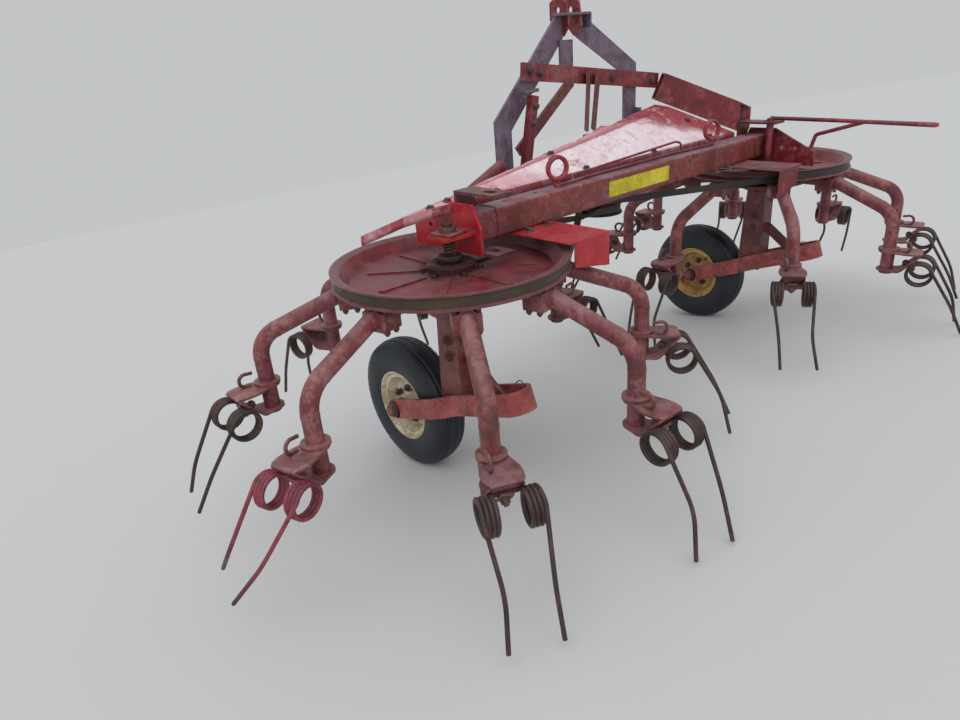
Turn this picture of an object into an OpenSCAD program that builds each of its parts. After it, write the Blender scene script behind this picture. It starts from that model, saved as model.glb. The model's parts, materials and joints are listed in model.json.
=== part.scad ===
// Two-rotor belt-driven hay tedder for a tractor's three-point linkage.
// The machine frame has X from the left rotor to the right one, Y forward to the tractor
// and Z along the rotor axes, with zero at the upper rims of the belt sheaves.
// The whole machine is laid back so that it stands on its wheels and its rear tines.

/* [Rotors] */
// Distance between the two rotor axes
rotor_pitch = 1600; // [1590:5:1700]
// Number of arms on each rotor
arm_count = 8; // [6:1:8]
// Turn of the left rotor's first arm, in degrees
left_phase = 12; // [0:1:44]
// Turn of the right rotor's first arm, in degrees
right_phase = 40; // [0:1:44]
// Outer radius of a belt sheave
sheave_r = 308; // [300:1:320]
// Height of a sheave's rim
sheave_h = 38; // [34:1:42]
// Thickness of the pressed sheet
sheave_wall = 5; // [4:0.5:6]
// Depth of the dish below the upper rim
dish_depth = 34; // [30:1:36]
// Number of pressed ribs in the dish
rib_count = 8; // [6:1:12]
// Height of a pressed rib
rib_h = 4; // [3:0.5:6]
// Radius of the rotor's hub barrel
hub_r = 64; // [58:1:72]
// Depth of the hub barrel's lower face
hub_drop = 118; // [110:1:130]
// Diameter of the fixed post that a rotor turns on
post_d = 40; // [36:1:46]

/* [Arms] */
// Outer diameter of an arm's tube
arm_d = 42; // [38:1:46]
// Radius at which an arm leaves the level
arm_knee_r = 290; // [270:1:310]
// Fall of an arm beyond its knee, in degrees
arm_fall = 22; // [16:1:26]
// Radius of the circle on which the arms' ends stand
arm_end_r = 516; // [505:1:530]
// Radius of the bend at an arm's end
arm_bend_r = 80; // [70:1:90]
// Depth of the arms' centre line under the sheave's upper rim
arm_drop = 64; // [62:1:70]
// Depth of the locking head on an arm's end
head_drop = 277; // [270:1:285]
// Depth of an arm's lower end
end_drop = 363; // [355:1:370]

/* [Tines] */
// Wire diameter of a tine
tine_d = 10; // [8:0.5:11]
// Mean diameter of a tine's coils
coil_d = 78; // [70:1:84]
// Width of one coil
coil_w = 34; // [30:1:38]
// Radius at the tine tips
tip_r = 788; // [760:1:790]
// Depth of the tine tips
tip_drop = 555; // [545:1:570]
// Distance between the two tips of a tine
tip_gap = 120; // [90:5:140]

/* [Wheels] */
// Outer diameter of a tyre
tyre_d = 412; // [400:1:420]
// Width of a tyre
tyre_w = 105; // [95:1:110]
// Diameter of the rim's flange
rim_d = 222; // [215:1:228]
// Diameter of a wheel's axle
axle_d = 25; // [22:1:28]
// Distance of the wheels ahead of the rotor axes
wheel_ahead = 255; // [240:1:260]
// Depth of the wheel centres
wheel_drop = 505; // [495:1:515]
// Gap between a tyre and its fork
fork_gap = 14; // [12:1:20]
// Height of the fork's strap
fork_h = 60; // [50:1:66]
// Thickness of the fork's strap
fork_t = 10; // [8:1:12]
// Reach of the fork behind the rotor axis
fork_behind = 250; // [230:1:265]
// Rise of the fork from its axle to its rear end, in degrees
fork_rise = 19; // [15:1:22]
// Width of the folded column
column_w = 72; // [64:1:80]

/* [Frame] */
// Outer size of the square main beam
beam_size = 80; // [75:1:90]
// Wall of the main beam
beam_wall = 5; // [4:0.5:6]
// Height of the beam's underside over the sheaves' rims
beam_lift = 22; // [20:1:26]
// Distance of the beam's ends from the rotor axes
beam_inset = 69; // [62:1:75]
// Thickness of the bracket plates
plate_t = 8; // [6:1:10]
// Width of the holder straps
strap_w = 65; // [60:1:70]
// Height of the holder strap's upper face
strap_top = 150; // [145:1:160]

/* [Headstock] */
// Distance of the headstock ahead of the rotor axes
mast_ahead = 293; // [285:1:305]
// Height of the top link's hole over the sheaves' rims
top_hole_z = 567; // [550:1:580]
// Diameter of the top link's hole
top_hole_d = 19.5; // [19.3:0.1:20]
// Gap between the top link's plates
top_gap = 52; // [46:1:58]
// Diameter of the lower hitch pins
pin_d = 22; // [21.8:0.1:22.4]
// Distance between the shoulders of the lower hitch pins
pin_span = 683; // [683:1:690]
// Length of each lower hitch pin
pin_l = 95; // [80:1:110]
// Height of the lower hitch pins over the sheaves' rims
pin_z = 90; // [80:1:100]

/* [Drive] */
// Diameter of the drive pulley
pulley_d = 150; // [140:1:160]
// Top width of the belts
belt_w = 22; // [20:1:22]
// Thickness of the belts
belt_t = 14; // [12:1:14]
// Diameter of the splined drive shaft
pto_d = 34.9; // [34:0.1:36]
// Length of the drive shaft that stands out
pto_l = 90; // [80:1:100]

/* [Hidden] */
$fn = 64;

rim_clear = 0.05;
seat = 0.3;
half_pitch = rotor_pitch / 2;
left_side = -1;
right_side = 1;
wheel_r = tyre_d / 2;
groove_d = 20;
groove_w = belt_w + 6;
head_h = 8;
arm_ring_r = 165;
bead_h = 0.8;
bead_gap = 0.5;
carrier_top = head_drop + head_h / 2 + seat;
carrier_low = end_drop - 10;
coil_r = arm_end_r + 26;
coil_drop = end_drop + coil_d / 2 + tine_d / 2 + 2 + seat;
pivot_drop = wheel_drop - wheel_ahead * tan(fork_rise);
beam_mid = beam_lift + beam_size / 2;
bracket_x = beam_inset - plate_t;
strap_t = 8;
strap_reach = 150;
bracket_low = -8;
bracket_top = 121;
oval_d = 26;
ledge_z = 48;
stub_d = post_d - 13;
leg_t = 10;
strut_t = 12;
brace_t = 10;
strut_y = mast_ahead - leg_t - strut_t / 2;
brace_y = strut_y - strut_t / 2 - brace_t / 2;
belt_z = -sheave_h / 2;
belt_play = 0.3;
belt_pitch_r = sheave_r - groove_d + belt_play + belt_t / 2;
pulley_shaft_d = 35;
pulley_pitch_r = pulley_d / 2 - groove_d + belt_play + belt_t / 2;
groove_pitch = groove_w + 4;
gearbox_y = 165;
gearbox_low = 0;
gearbox_top = 125;
shaft_z = 62;
inner_shaft_d = 30;

// Angle at which both the tyres and the rear tines touch the floor
tip_low = tip_drop + tine_d / 2;
rest_span = norm([wheel_drop - tip_low, wheel_ahead + tip_r]);
park_tilt = asin(wheel_r / rest_span) - atan2(tip_low - wheel_drop, wheel_ahead + tip_r);
park_lift = wheel_r + wheel_drop * cos(park_tilt) - wheel_ahead * sin(park_tilt);

// Inner and outer end of each tine leg, in the frame of its arm and in the machine frame
function leg_low(s) = [coil_r + coil_d / 2 * 0.5, s * coil_w * 0.8, -coil_drop - coil_d / 2 * 0.8];
function leg_tip(s) = [sqrt(tip_r * tip_r - tip_gap * tip_gap / 4) - tine_d, s * tip_gap / 2,
    -tip_drop];
function arm_turn(side, i) = (side < 0 ? left_phase : right_phase) + i * 360 / arm_count;
function in_machine(side, i, p) = let (a = arm_turn(side, i))
    [side * half_pitch + p.x * cos(a) - p.y * sin(a), p.x * sin(a) + p.y * cos(a), p.z];
legs = [for (side = [-1, 1], i = [0:arm_count - 1], s = [-1, 1])
    [in_machine(side, i, leg_low(s)), in_machine(side, i, leg_tip(s))]];

// Furthest reach of a wire's flat end along a direction
function leg_reach(leg, way) = let (run = (leg[1] - leg[0]) / norm(leg[1] - leg[0]))
    leg[1] * way + tine_d / 2 * sqrt(1 - pow(run * way, 2));
function half_way(way) = (max([for (leg = legs) leg_reach(leg, way)])
    - max([for (leg = legs) leg_reach(leg, -way)])) / 2;
park_x = -half_way([1, 0, 0]);
park_y = -half_way([0, cos(park_tilt), -sin(park_tilt)]);

// Machine frame to the frame of the parked machine, with its origin on the floor under the middle
module parked()
    translate([park_x, park_y, park_lift])
        rotate([park_tilt, 0, 0])
            children();

// Frame of one rotor, with side -1 at the left and 1 at the right
module at_rotor(side) translate([side * half_pitch, 0, 0]) children();

// Round rod between two points
module rod(a, b, d) {
    v = b - a;
    translate(a)
        rotate([0, acos(v.z / norm(v)), atan2(v.y, v.x)])
            cylinder(h = norm(v), d = d);
}

// Square-edged bar between two points, with its width level
module bar(a, b, w, h) {
    v = b - a;
    translate(a)
        rotate([0, acos(v.z / norm(v)), atan2(v.y, v.x)])
            translate([-h / 2, -w / 2, 0])
                cube([h, w, norm(v)]);
}

// Rectangle with round corners, centred
module round_rect(w, h, r) {
    square([w - 2 * r, h], center = true);
    square([w, h - 2 * r], center = true);
    for (x = [-1, 1], y = [-1, 1])
        translate([x * (w / 2 - r), y * (h / 2 - r)])
            circle(r);
}

module main_beam() {
    length = rotor_pitch - 2 * beam_inset;
    hole_x = [-600, -480, 260, 520];
    color("#6e2a28")
        difference() {
            translate([-length / 2, 0, beam_mid])
                rotate([90, 0, 90])
                    linear_extrude(length)
                        difference() {
                            round_rect(beam_size, beam_size, 10);
                            round_rect(beam_size - 2 * beam_wall, beam_size - 2 * beam_wall, 5);
                        }
            for (x = hole_x)
                translate([x, 0, beam_mid])
                    cylinder(h = beam_size, d = 13);
        }
}

// End bracket over a rotor: an upright plate and the ledge that holds the post's top
module bracket(side) {
    plate = [[-55, bracket_low], [222, bracket_low], [222, 43], [70, bracket_top], [-30, bracket_top],
        [-55, 60]];
    at_rotor(side)
        rotate([0, 0, side < 0 ? 0 : 180]) {
            difference() {
                translate([bracket_x, 0, 0])
                    rotate([90, 0, 90])
                        linear_extrude(plate_t)
                            polygon(plate);
                for (y = [100, 150])
                    translate([bracket_x - 1, y, 52])
                        rotate([0, 90, 0])
                            cylinder(h = plate_t + 2, d = 14);
            }
            difference() {
                translate([-38, -38, ledge_z])
                    cube([bracket_x + 38, 76, plate_t]);
                translate([0, 0, ledge_z - 1])
                    cylinder(h = plate_t + 2, d = stub_d + 1);
            }
        }
}

// Mirrors what is drawn for the left side over to the right one
module mirrored_side(side) {
    if (side < 0)
        children();
    else
        mirror([1, 0, 0]) children();
}

module left_bracket() color("#b01c1c") bracket(left_side);

module right_bracket() color("#8d1f1f") bracket(right_side);

// Strap bent to a C that opens to the rear round the end of the main beam
module holder(side) {
    front = beam_size / 2 + strap_t;
    low = beam_lift - 2 * strap_t - 14;
    x = half_pitch - beam_inset - strap_w;
    translate([side > 0 ? x : -x - strap_w, 0, 0]) {
        difference() {
            union() {
                translate([0, front - strap_t, low])
                    cube([strap_w, strap_t, strap_top - low]);
                translate([0, front - strap_reach, strap_top - strap_t])
                    cube([strap_w, strap_reach, strap_t]);
                translate([0, front - strap_reach, low])
                    cube([strap_w, strap_reach, strap_t]);
            }
            for (y = [-8, 8])
                translate([strap_w / 2, front - strap_reach + 45 + y, low - 1])
                    cylinder(h = strap_top - low + 2, d = oval_d);
        }
    }
}

module left_holder() color("#5c2a2a") holder(left_side);

module right_holder() color("#5c2a2a") holder(right_side);

// Turning points of the mast's legs in its own plane, as X and Z
leg_top_z = 527;
leg_crank = [[11.5 - pin_span / 2, 253], [pin_span / 2 - 11.5, 372]];
strut_left = [-235, strut_y, 402];
strut_right = [472, strut_y, 316];
front_end = [470, mast_ahead - 25, 296];
rear_end = [half_pitch - beam_inset - 40, 70, 168];

module diagonal_beam() {
    way = (rear_end - front_end) / norm(rear_end - front_end);
    color("#7a2226")
        intersection() {
            difference() {
                bar(front_end, rear_end + 80 * way, 60, 96);
                bar(front_end - way, rear_end + 82 * way, 50, 86);
            }
            translate([400, beam_size / 2 + strap_t, 0])
                cube([400, 300, 400]);
        }
}

module left_stay() {
    from_x = beam_inset - half_pitch;
    to_x = leg_crank[0].x - 22;
    color("#6e2428")
        intersection() {
            rod([from_x - 40, 150, 26], [to_x + 30, mast_ahead - 14, pin_z + 53], 42);
            translate([from_x, 0, -100])
                cube([to_x - from_x, mast_ahead, 400]);
        }
}

// Flat leg of the mast with its cranked and slotted foot
module mast_leg(side) {
    crank = leg_crank[side < 0 ? 0 : 1];
    x = abs(crank.x);
    foot_low = pin_z - 45;
    plate_face = top_gap / 2 + 8;
    pts = [[plate_face, leg_top_z + 22], [plate_face + 30, leg_top_z + 22], [x + 22, crank.y + 14],
        [x + 22, foot_low], [x - 44, foot_low], [x - 44, crank.y - 20],
        [plate_face, leg_top_z - 40]];
    difference() {
        union() {
            translate([0, mast_ahead, 0])
                rotate([90, 0, 0])
                    linear_extrude(leg_t)
                        polygon([for (p = pts) [side * p[0], p[1]]]);
            translate([side * (x + 17) - 5, mast_ahead - 36, foot_low])
                cube([10, 30, 190]);
        }
        for (z = [pin_z - 20, pin_z + 70])
            translate([side * (x - 12) - 7, mast_ahead - 20, z])
                cube([14, 30, 50]);
    }
    translate([side * (pin_span / 2 + 10.5), mast_ahead - 20, pin_z])
        rotate([0, side * 90, 0])
            cylinder(h = pin_l, d = pin_d);
}

module left_mast_leg() color("#6a5560") mast_leg(left_side);

module right_mast_leg() color("#6a5560") mast_leg(right_side);

module top_link_plates() {
    color("#7c2a2a")
        for (s = [-1, 1])
            translate([s * (top_gap / 2 + 4) - 4, 0, 0])
                difference() {
                    translate([0, mast_ahead, 0])
                        rotate([90, 0, 90])
                            linear_extrude(8)
                                polygon([[0, 490], [46, 540], [46, 590], [20, 605], [-24, 590],
                                    [-34, 520], [-10, 490]]);
                    translate([-1, mast_ahead + 12, top_hole_z])
                        rotate([0, 90, 0])
                            cylinder(h = 10, d = top_hole_d);
                }
}

module cross_strut() {
    color("#742226")
        bar(strut_left, strut_right, strut_t, 52);
}

// Stays behind the strut: one to the left leg's foot and two down to the gearbox
module mast_braces() {
    lug_y = gearbox_y + 69;
    color("#5f2b30") {
        bar([-20, brace_y, 356], [leg_crank[0].x + 52, brace_y, 168], brace_t, 34);
        difference() {
            union() {
                bar([66, brace_y - 3, 372], [16, lug_y, 196], brace_t, 30);
                bar([114, brace_y - 3, 366], [52, lug_y, 196], brace_t, 30);
            }
            translate([0, strut_y - strut_t / 2, 300])
                cube([200, 40, 100]);
        }
    }
}

module adjuster_bar() {
    y = brace_y - brace_t / 2 - 13;
    color("#8a2a28")
        bar([-218, y, 330], [-268, y, 110], 26, 26);
}

module gearbox() {
    lug_y = gearbox_y + 64;
    color("#53302e")
        difference() {
            union() {
                translate([-70, gearbox_y - 75, gearbox_low])
                    cube([140, 140, gearbox_top - gearbox_low]);
                translate([0, gearbox_y + 64, shaft_z])
                    rotate([-90, 0, 0])
                        cylinder(h = 60, d = 100);
                translate([-60, beam_size / 2, beam_lift + 8])
                    cube([120, gearbox_y - 75 - beam_size / 2, 14]);
                translate([-10, lug_y - 13, gearbox_top])
                    cube([90, 12, 62]);
            }
            translate([0, gearbox_y, gearbox_low - 1])
                cylinder(h = 41, d = pulley_shaft_d + 2 * rim_clear);
            translate([0, gearbox_y + 100, shaft_z])
                rotate([-90, 0, 0])
                    cylinder(h = 30, d = inner_shaft_d + 2 * rim_clear);
        }
}

module drive_shaft() {
    color("silver")
        translate([0, gearbox_y + 125, shaft_z])
            rotate([-90, 0, 0]) {
                translate([0, 0, -21])
                    cylinder(h = 22, d = inner_shaft_d);
                cylinder(h = pto_l, d = pto_d);
            }
}

// V-shaped groove of a belt at one height, as the outline that it takes from a wheel's rim
function groove(r, z) = [[r, z - groove_w / 2], [r - groove_d, z - 6], [r - groove_d, z + 6],
    [r, z + groove_w / 2]];

// Pulley with two grooves under the gearbox
module drive_pulley() {
    r = pulley_d / 2;
    top = -seat;
    low = belt_z - groove_pitch - groove_w / 2 - 5;
    color("#4a3431")
        translate([0, gearbox_y, 0]) {
            rotate_extrude()
                polygon(concat([[0, low], [r, low]], groove(r, belt_z - groove_pitch),
                    groove(r, belt_z), [[r, top], [0, top]]));
            cylinder(h = 36, d = pulley_shaft_d);
            translate([0, 0, -1])
                cylinder(h = 2, d = pulley_shaft_d);
        }
}

// Closed loop of a V-belt round a sheave and the drive pulley. The left belt is crossed: its
// runs turn over between the wheels, one above the other where they cross.
module belt(side) {
    crossed = side < 0;
    c1 = [side * half_pitch, 0];
    c2 = [0, gearbox_y];
    z1 = belt_z;
    z2 = belt_z - (crossed ? groove_pitch : 0);
    r1 = belt_pitch_r;
    r2 = pulley_pitch_r;
    span = norm(c2 - c1);
    facing = atan2(c2.y - c1.y, c2.x - c1.x);
    open = acos((crossed ? r1 + r2 : r1 - r2) / span);
    turn2 = crossed ? 180 : 0;
    meet = r1 / (r1 + r2);
    run_n = 12;
    run_l = span * sin(open);
    free1 = sqrt(pow(sheave_r + belt_t, 2) - r1 * r1) / run_l;
    free2 = 1 - sqrt(pow(pulley_d / 2 + belt_t, 2) - r2 * r2) / run_l;
    turn1 = 360 - 2 * open;
    sweep2 = crossed ? -turn1 : 2 * open;
    steps1 = 24;
    steps2 = 12;
    // The rings stand a little outside the pitch circle, so that no chord cuts into a groove
    out1 = r1 / cos(turn1 / steps1 / 2);
    out2 = r2 / cos(sweep2 / steps2 / 2);
    function on1(a) = [c1.x + out1 * cos(a), c1.y + out1 * sin(a), z1];
    function on2(a) = [c2.x + out2 * cos(a), c2.y + out2 * sin(a), z2];
    // A ring is its centre, the direction away from the wheel, its turn and its lift
    arc1 = [for (i = [0:steps1]) let (a = facing + open + i / steps1 * turn1)
        [on1(a), a, 0]];
    a2 = facing - open + turn2;
    arc2 = [for (i = [0:steps2]) let (a = a2 + i / steps2 * sweep2)
        [on2(a), crossed ? a + 180 : a, crossed ? 180 : 0]];
    function along(p, q, a, way) = [for (i = [1:run_n - 1]) let (
            t = i / run_n,
            u = way > 0 ? t : 1 - t,
            flip = crossed ? lookup(u, [[free1, 0], [meet, 90], [free2, 180]]) : 0,
            lift = crossed ? lookup(u, [[free1, 0], [meet, belt_t / 2 + 3], [free2, 0]]) : 0)
        [p + (q - p) * t + [0, 0, way * lift], a, way * flip]];
    run1 = along(on1(facing - open), on2(a2), facing - open, 1);
    run2 = along(on2(a2 + sweep2), on1(facing + open), facing + open, -1);
    rings = concat(arc1, run1, arc2, run2);
    outline = [[-belt_t / 2, -belt_w / 4], [belt_t / 2, -belt_w / 2], [belt_t / 2, belt_w / 2],
        [-belt_t / 2, belt_w / 4]];
    n = len(rings);
    pts = [for (r = rings, o = outline) let (
            u = [cos(r[1]), sin(r[1])],
            d = o.x * cos(r[2]) - o.y * sin(r[2]),
            h = o.x * sin(r[2]) + o.y * cos(r[2]))
        r[0] + [d * u.x, d * u.y, h]];
    faces = [for (i = [0:n - 1], j = [0:3]) let (k = (i + 1) % n, m = (j + 1) % 4)
        each [[i * 4 + j, i * 4 + m, k * 4 + m], [i * 4 + j, k * 4 + m, k * 4 + j]]];
    polyhedron(points = pts, faces = faces);
}

module left_belt() color("#9a8264") belt(left_side);

module right_belt() color("#2a2422") belt(right_side);

// Folded cover over the belts, with its rear edge along the main beam
module belt_cover() {
    rear_y = beam_size / 2 + strap_t + 4;
    top = [[-half_pitch - 200, 95, 86], [-half_pitch, rear_y, 125],
        [half_pitch - 142, rear_y, 112], [front_end.x - 30, 260, 235]];
    color("#d08a92")
        polyhedron(
            points = concat(top, [for (p = top) p - [0, 0, 3]]),
            faces = [[0, 3, 1], [1, 3, 2], [4, 5, 7], [5, 6, 7], [0, 1, 5, 4], [1, 2, 6, 5],
                [2, 3, 7, 6], [3, 0, 4, 7]]);
}

// Folded guard under the main beam, where a belt's rear run meets its sheave
module guard(side) {
    inner = half_pitch - 345;
    outer = half_pitch - 190;
    lip_x = half_pitch - 210;
    sheet = 3;
    rear = 238;
    mirrored_side(side) {
        translate([-outer, -rear, beam_lift - sheet])
            cube([outer - inner, rear + 20, sheet]);
        translate([0, -rear + sheet, 0])
            rotate([90, 0, 0])
                linear_extrude(sheet)
                    polygon([[-lip_x, beam_lift], [-inner, beam_lift], [-inner, -70], [-lip_x, -44]]);
    }
}

module left_guard() color("#c01a1a") guard(left_side);

module right_guard() color("#8e2024") guard(right_side);

module hoop_rod() {
    x = half_pitch - beam_inset - strap_w / 2;
    y = beam_size / 2 + strap_t - strap_reach + 37;
    d = 14;
    color("#7a3038") {
        rod([x, y, strap_top + d / 2 + 3.2], [x + 60, -560, 133], d);
        translate([x, y, -24])
            cylinder(h = strap_top + 30, d = oval_d - 2 * seat);
    }
}

module spring_rods() {
    color("#8e1c2c")
        for (p = [[-380, 0], [330, 0]])
            translate([p[0], p[1], beam_lift + beam_size]) {
                cylinder(h = 40, d = 12);
                translate([0, 0, 70])
                    rotate([90, 0, 20])
                        rotate_extrude()
                            translate([28, 0]) circle(6);
                rod([0, 0, 30], [200, 10, 20], 8);
            }
}

// Fixed post that a rotor turns on, with its nut over the bracket's ledge
module post(side) {
    at_rotor(side) {
        translate([0, 0, -pivot_drop + 30])
            cylinder(h = pivot_drop - 30 + ledge_z, d = post_d);
        translate([0, 0, ledge_z - 1])
            cylinder(h = plate_t + 32, d = stub_d);
        translate([0, 0, ledge_z + plate_t])
            cylinder(h = 18, d = 46, $fn = 6);
    }
}

module left_post() color("#4c3a38") post(left_side);

module right_post() color("#4c3a38") post(right_side);

// Box column from a rotor's post down to the fork
module column(side) {
    top = hub_drop + 6;
    at_rotor(side)
        difference() {
            translate([-column_w / 2, -38, -pivot_drop - 26])
                cube([column_w, 76, pivot_drop + 26 - top]);
            translate([0, 0, -pivot_drop - 27])
                cylinder(h = pivot_drop + 30 - top, d = post_d + 2 * rim_clear);
            translate([-column_w / 2 + 8, -30, -pivot_drop - 27])
                cube([column_w - 16, 60, pivot_drop - top]);
        }
}

module left_column() color("#6b2f2c") column(left_side);

module right_column() color("#6b2f2c") column(right_side);

module fork(side) {
    half = tyre_w / 2 + fork_gap;
    ahead = wheel_ahead / cos(fork_rise);
    behind = fork_behind / cos(fork_rise);
    at_rotor(side) {
        translate([0, 0, -pivot_drop])
            rotate([-fork_rise, 0, 0])
                difference() {
                    union() {
                        for (s = [-1, 1])
                            translate([s * (half + fork_t / 2) - fork_t / 2, -behind, -fork_h / 2])
                                cube([fork_t, behind + ahead + 32, fork_h]);
                        translate([-half - fork_t, -behind - fork_t, -fork_h / 2])
                            cube([2 * half + 2 * fork_t, fork_t, fork_h]);
                    }
                }
        for (s = [-1, 1])
            translate([s * (half + column_w / 2) / 2, 0, -pivot_drop])
                cube([half - column_w / 2, 40, 40], center = true);
        translate([-half - fork_t - 18, wheel_ahead, -wheel_drop])
            rotate([0, 90, 0])
                cylinder(h = 2 * (half + fork_t + 18), d = axle_d);
    }
}

module left_fork() color("#5e2a2a") fork(left_side);

module right_fork() color("#5e2a2a") fork(right_side);

// Belt sheave pressed from two sheets, with its hub barrel
module sheave(side) {
    r = sheave_r;
    lip = sheave_wall;
    mid = sheave_h / 2;
    in_r = r - groove_d;
    at_rotor(side) {
        rotate_extrude()
            polygon([[post_d / 2 + rim_clear, -16], [hub_r, -16], [hub_r, -dish_depth],
                [in_r - 26, -dish_depth], [in_r - 4, -6], [r - 8, 0], [r, 0], [r, -lip],
                [in_r, -mid + 6], [in_r, -mid - 6], [r, -sheave_h + lip], [r, -sheave_h],
                [r - 8, -sheave_h], [in_r - 6, -sheave_h + 7], [in_r - 22, -dish_depth - lip],
                [hub_r, -dish_depth - lip], [hub_r, -hub_drop], [post_d / 2 + rim_clear, -hub_drop]]);
        for (i = [0:rib_count - 1])
            rotate([0, 0, i * 360 / rib_count])
                translate([hub_r + 22, -8, -dish_depth - 1])
                    cube([sheave_r - hub_r - 110, 16, rib_h + 1]);
    }
}

module left_sheave() color("#7d1f24") sheave(left_side);

module right_sheave() color("#7d2a30") sheave(right_side);

// Places its children at each arm of a rotor, with X along the arm
module each_arm(side) {
    phase = side < 0 ? left_phase : right_phase;
    at_rotor(side)
        for (i = [0:arm_count - 1])
            rotate([0, 0, phase + i * 360 / arm_count])
                children();
}

// Bent tube of one arm in its own X-Z plane, with a weld bead at each end of a bend
module arm() {
    corner_z = -arm_drop - (arm_end_r - arm_knee_r) * tan(arm_fall);
    turn = 90 - arm_fall;
    setback = arm_bend_r * tan(turn / 2);
    knee_setback = arm_bend_r * tan(arm_fall / 2);
    knee_x = arm_knee_r - knee_setback;
    slope = [cos(arm_fall), 0, -sin(arm_fall)];
    knee = [arm_knee_r, 0, -arm_drop];
    corner = [arm_end_r, 0, corner_z];
    a = knee - [knee_setback, 0, 0];
    b = knee + knee_setback * slope;
    c = corner - setback * slope;
    d = corner - [0, 0, setback];
    in_bead = bead_gap / arm_bend_r * 180 / PI;
    rod([hub_r - 6, 0, -arm_drop], a - [bead_gap, 0, 0], arm_d);
    translate([knee_x, 0, -arm_drop - arm_bend_r])
        rotate([90, arm_fall - 90 - in_bead, 0])
            rotate_extrude(angle = arm_fall - 2 * in_bead)
                translate([arm_bend_r, 0]) circle(d = arm_d);
    rod(b + bead_gap * slope, c - bead_gap * slope, arm_d);
    translate([arm_end_r - arm_bend_r, 0, corner_z - setback])
        rotate([90, -in_bead, 0])
            rotate_extrude(angle = turn - 2 * in_bead)
                translate([arm_bend_r, 0]) circle(d = arm_d);
    translate([arm_end_r, 0, -end_drop])
        cylinder(h = end_drop + d.z - bead_gap, d = arm_d);
    for (p = [a, b, c, d])
        translate(p) sphere(d = arm_d + 2 * bead_h);
    translate([arm_end_r, 0, -head_drop - head_h / 2])
        cylinder(h = head_h, d = arm_d + 26);
}

// Arms of one rotor on the ring that joins them under the sheave
module arms(side) {
    difference() {
        union() {
            each_arm(side) arm();
            at_rotor(side)
                translate([0, 0, -arm_drop - arm_d / 2 - 4])
                    cylinder(h = 8, r = arm_ring_r);
        }
        at_rotor(side)
            translate([0, 0, -hub_drop])
                cylinder(h = hub_drop, r = hub_r);
    }
}

module left_arms() color("#7a3236") arms(left_side);

module right_arms() color("#7a3c38") arms(right_side);

// Folded strap that holds a tine on an arm's end
module carrier() {
    w = 56;
    t = 6;
    difference() {
        translate([arm_end_r, w / 2, 0])
            rotate([90, 0, 0])
                linear_extrude(w)
                    difference() {
                        polygon([[-30, -carrier_top], [48, -carrier_top], [66, -carrier_top - 30],
                            [48, -carrier_low], [-30, -carrier_low]]);
                        polygon([[-31, -carrier_top - t], [45, -carrier_top - t],
                            [60, -carrier_top - 30], [45, -carrier_low + t], [-31, -carrier_low + t]]);
                    }
        translate([arm_end_r, 0, -end_drop])
            cylinder(h = end_drop, d = arm_d + 2 * rim_clear);
    }
}

module left_carriers() color("#7c3a36") each_arm(left_side) carrier();

module right_carriers() color("#7c3a36") each_arm(right_side) carrier();

// Double spring tine: two coils beside each other and two long legs
module tine() {
    for (s = [-1, 1]) {
        translate([coil_r, s * (coil_w / 2 + 1), -coil_drop])
            rotate([90, 0, 0])
                rotate_extrude()
                    translate([coil_d / 2, 0]) square([tine_d, coil_w], center = true);
        rod(leg_low(s), leg_tip(s), tine_d);
    }
    translate([coil_r, 0, -coil_drop + coil_d / 2 + 2])
        cube([24, 2 * coil_w, tine_d], center = true);
}

module left_tines() color("#33201e") each_arm(left_side) tine();

module right_tines() color("#33201e") each_arm(right_side) tine();

module at_wheel(side) {
    at_rotor(side)
        translate([0, wheel_ahead, -wheel_drop])
            rotate([0, 90, 0])
                children();
}

module tyre(side) {
    inner = rim_d / 2 - 9;
    depth = wheel_r - inner;
    at_wheel(side)
        rotate_extrude()
            intersection() {
                translate([inner + depth / 2, 0])
                    round_rect(depth, tyre_w, 26);
                translate([wheel_r - 130, 0])
                    circle(130);
            }
}

module left_tyre() color("#20262e") tyre(left_side);

module right_tyre() color("#20262e") tyre(right_side);

module rim(side) {
    seat_r = rim_d / 2 - 9 - seat;
    bore = axle_d / 2 + rim_clear;
    half = tyre_w / 2 - 16;
    at_wheel(side)
        rotate_extrude()
            polygon([[bore, -42], [24, -42], [24, -12], [seat_r - 22, -6], [seat_r - 10, -half],
                [seat_r, -half], [seat_r, half], [seat_r - 6, half], [seat_r - 12, 4],
                [seat_r - 26, 0], [24, -4], [24, 42], [bore, 42]]);
}

module left_rim() color("#e8dfc8") rim(left_side);

module right_rim() color("#d2a648") rim(right_side);

parked() {
    main_beam();
    left_bracket();
    right_bracket();
    left_holder();
    right_holder();
    diagonal_beam();
    left_stay();
    left_mast_leg();
    right_mast_leg();
    top_link_plates();
    cross_strut();
    mast_braces();
    adjuster_bar();
    gearbox();
    drive_shaft();
    drive_pulley();
    left_belt();
    right_belt();
    belt_cover();
    left_guard();
    right_guard();
    hoop_rod();
    spring_rods();
    left_post();
    right_post();
    left_column();
    right_column();
    left_fork();
    right_fork();
    left_sheave();
    right_sheave();
    left_arms();
    right_arms();
    left_carriers();
    right_carriers();
    left_tines();
    right_tines();
    left_tyre();
    right_tyre();
    left_rim();
    right_rim();
}
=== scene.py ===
"""Looks of a two-rotor hay tedder: finishes, tyres, tines and small fittings round a fixed frame.

All shapes are worked out in the machine's own frame, in metres: X from the left rotor to the right
one, Y forward to the tractor and Z along the rotor axes, with zero at the sheaves' upper rims.
"""

import json
import math

import bmesh
import bpy
import numpy as np
from mathutils import Matrix


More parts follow.
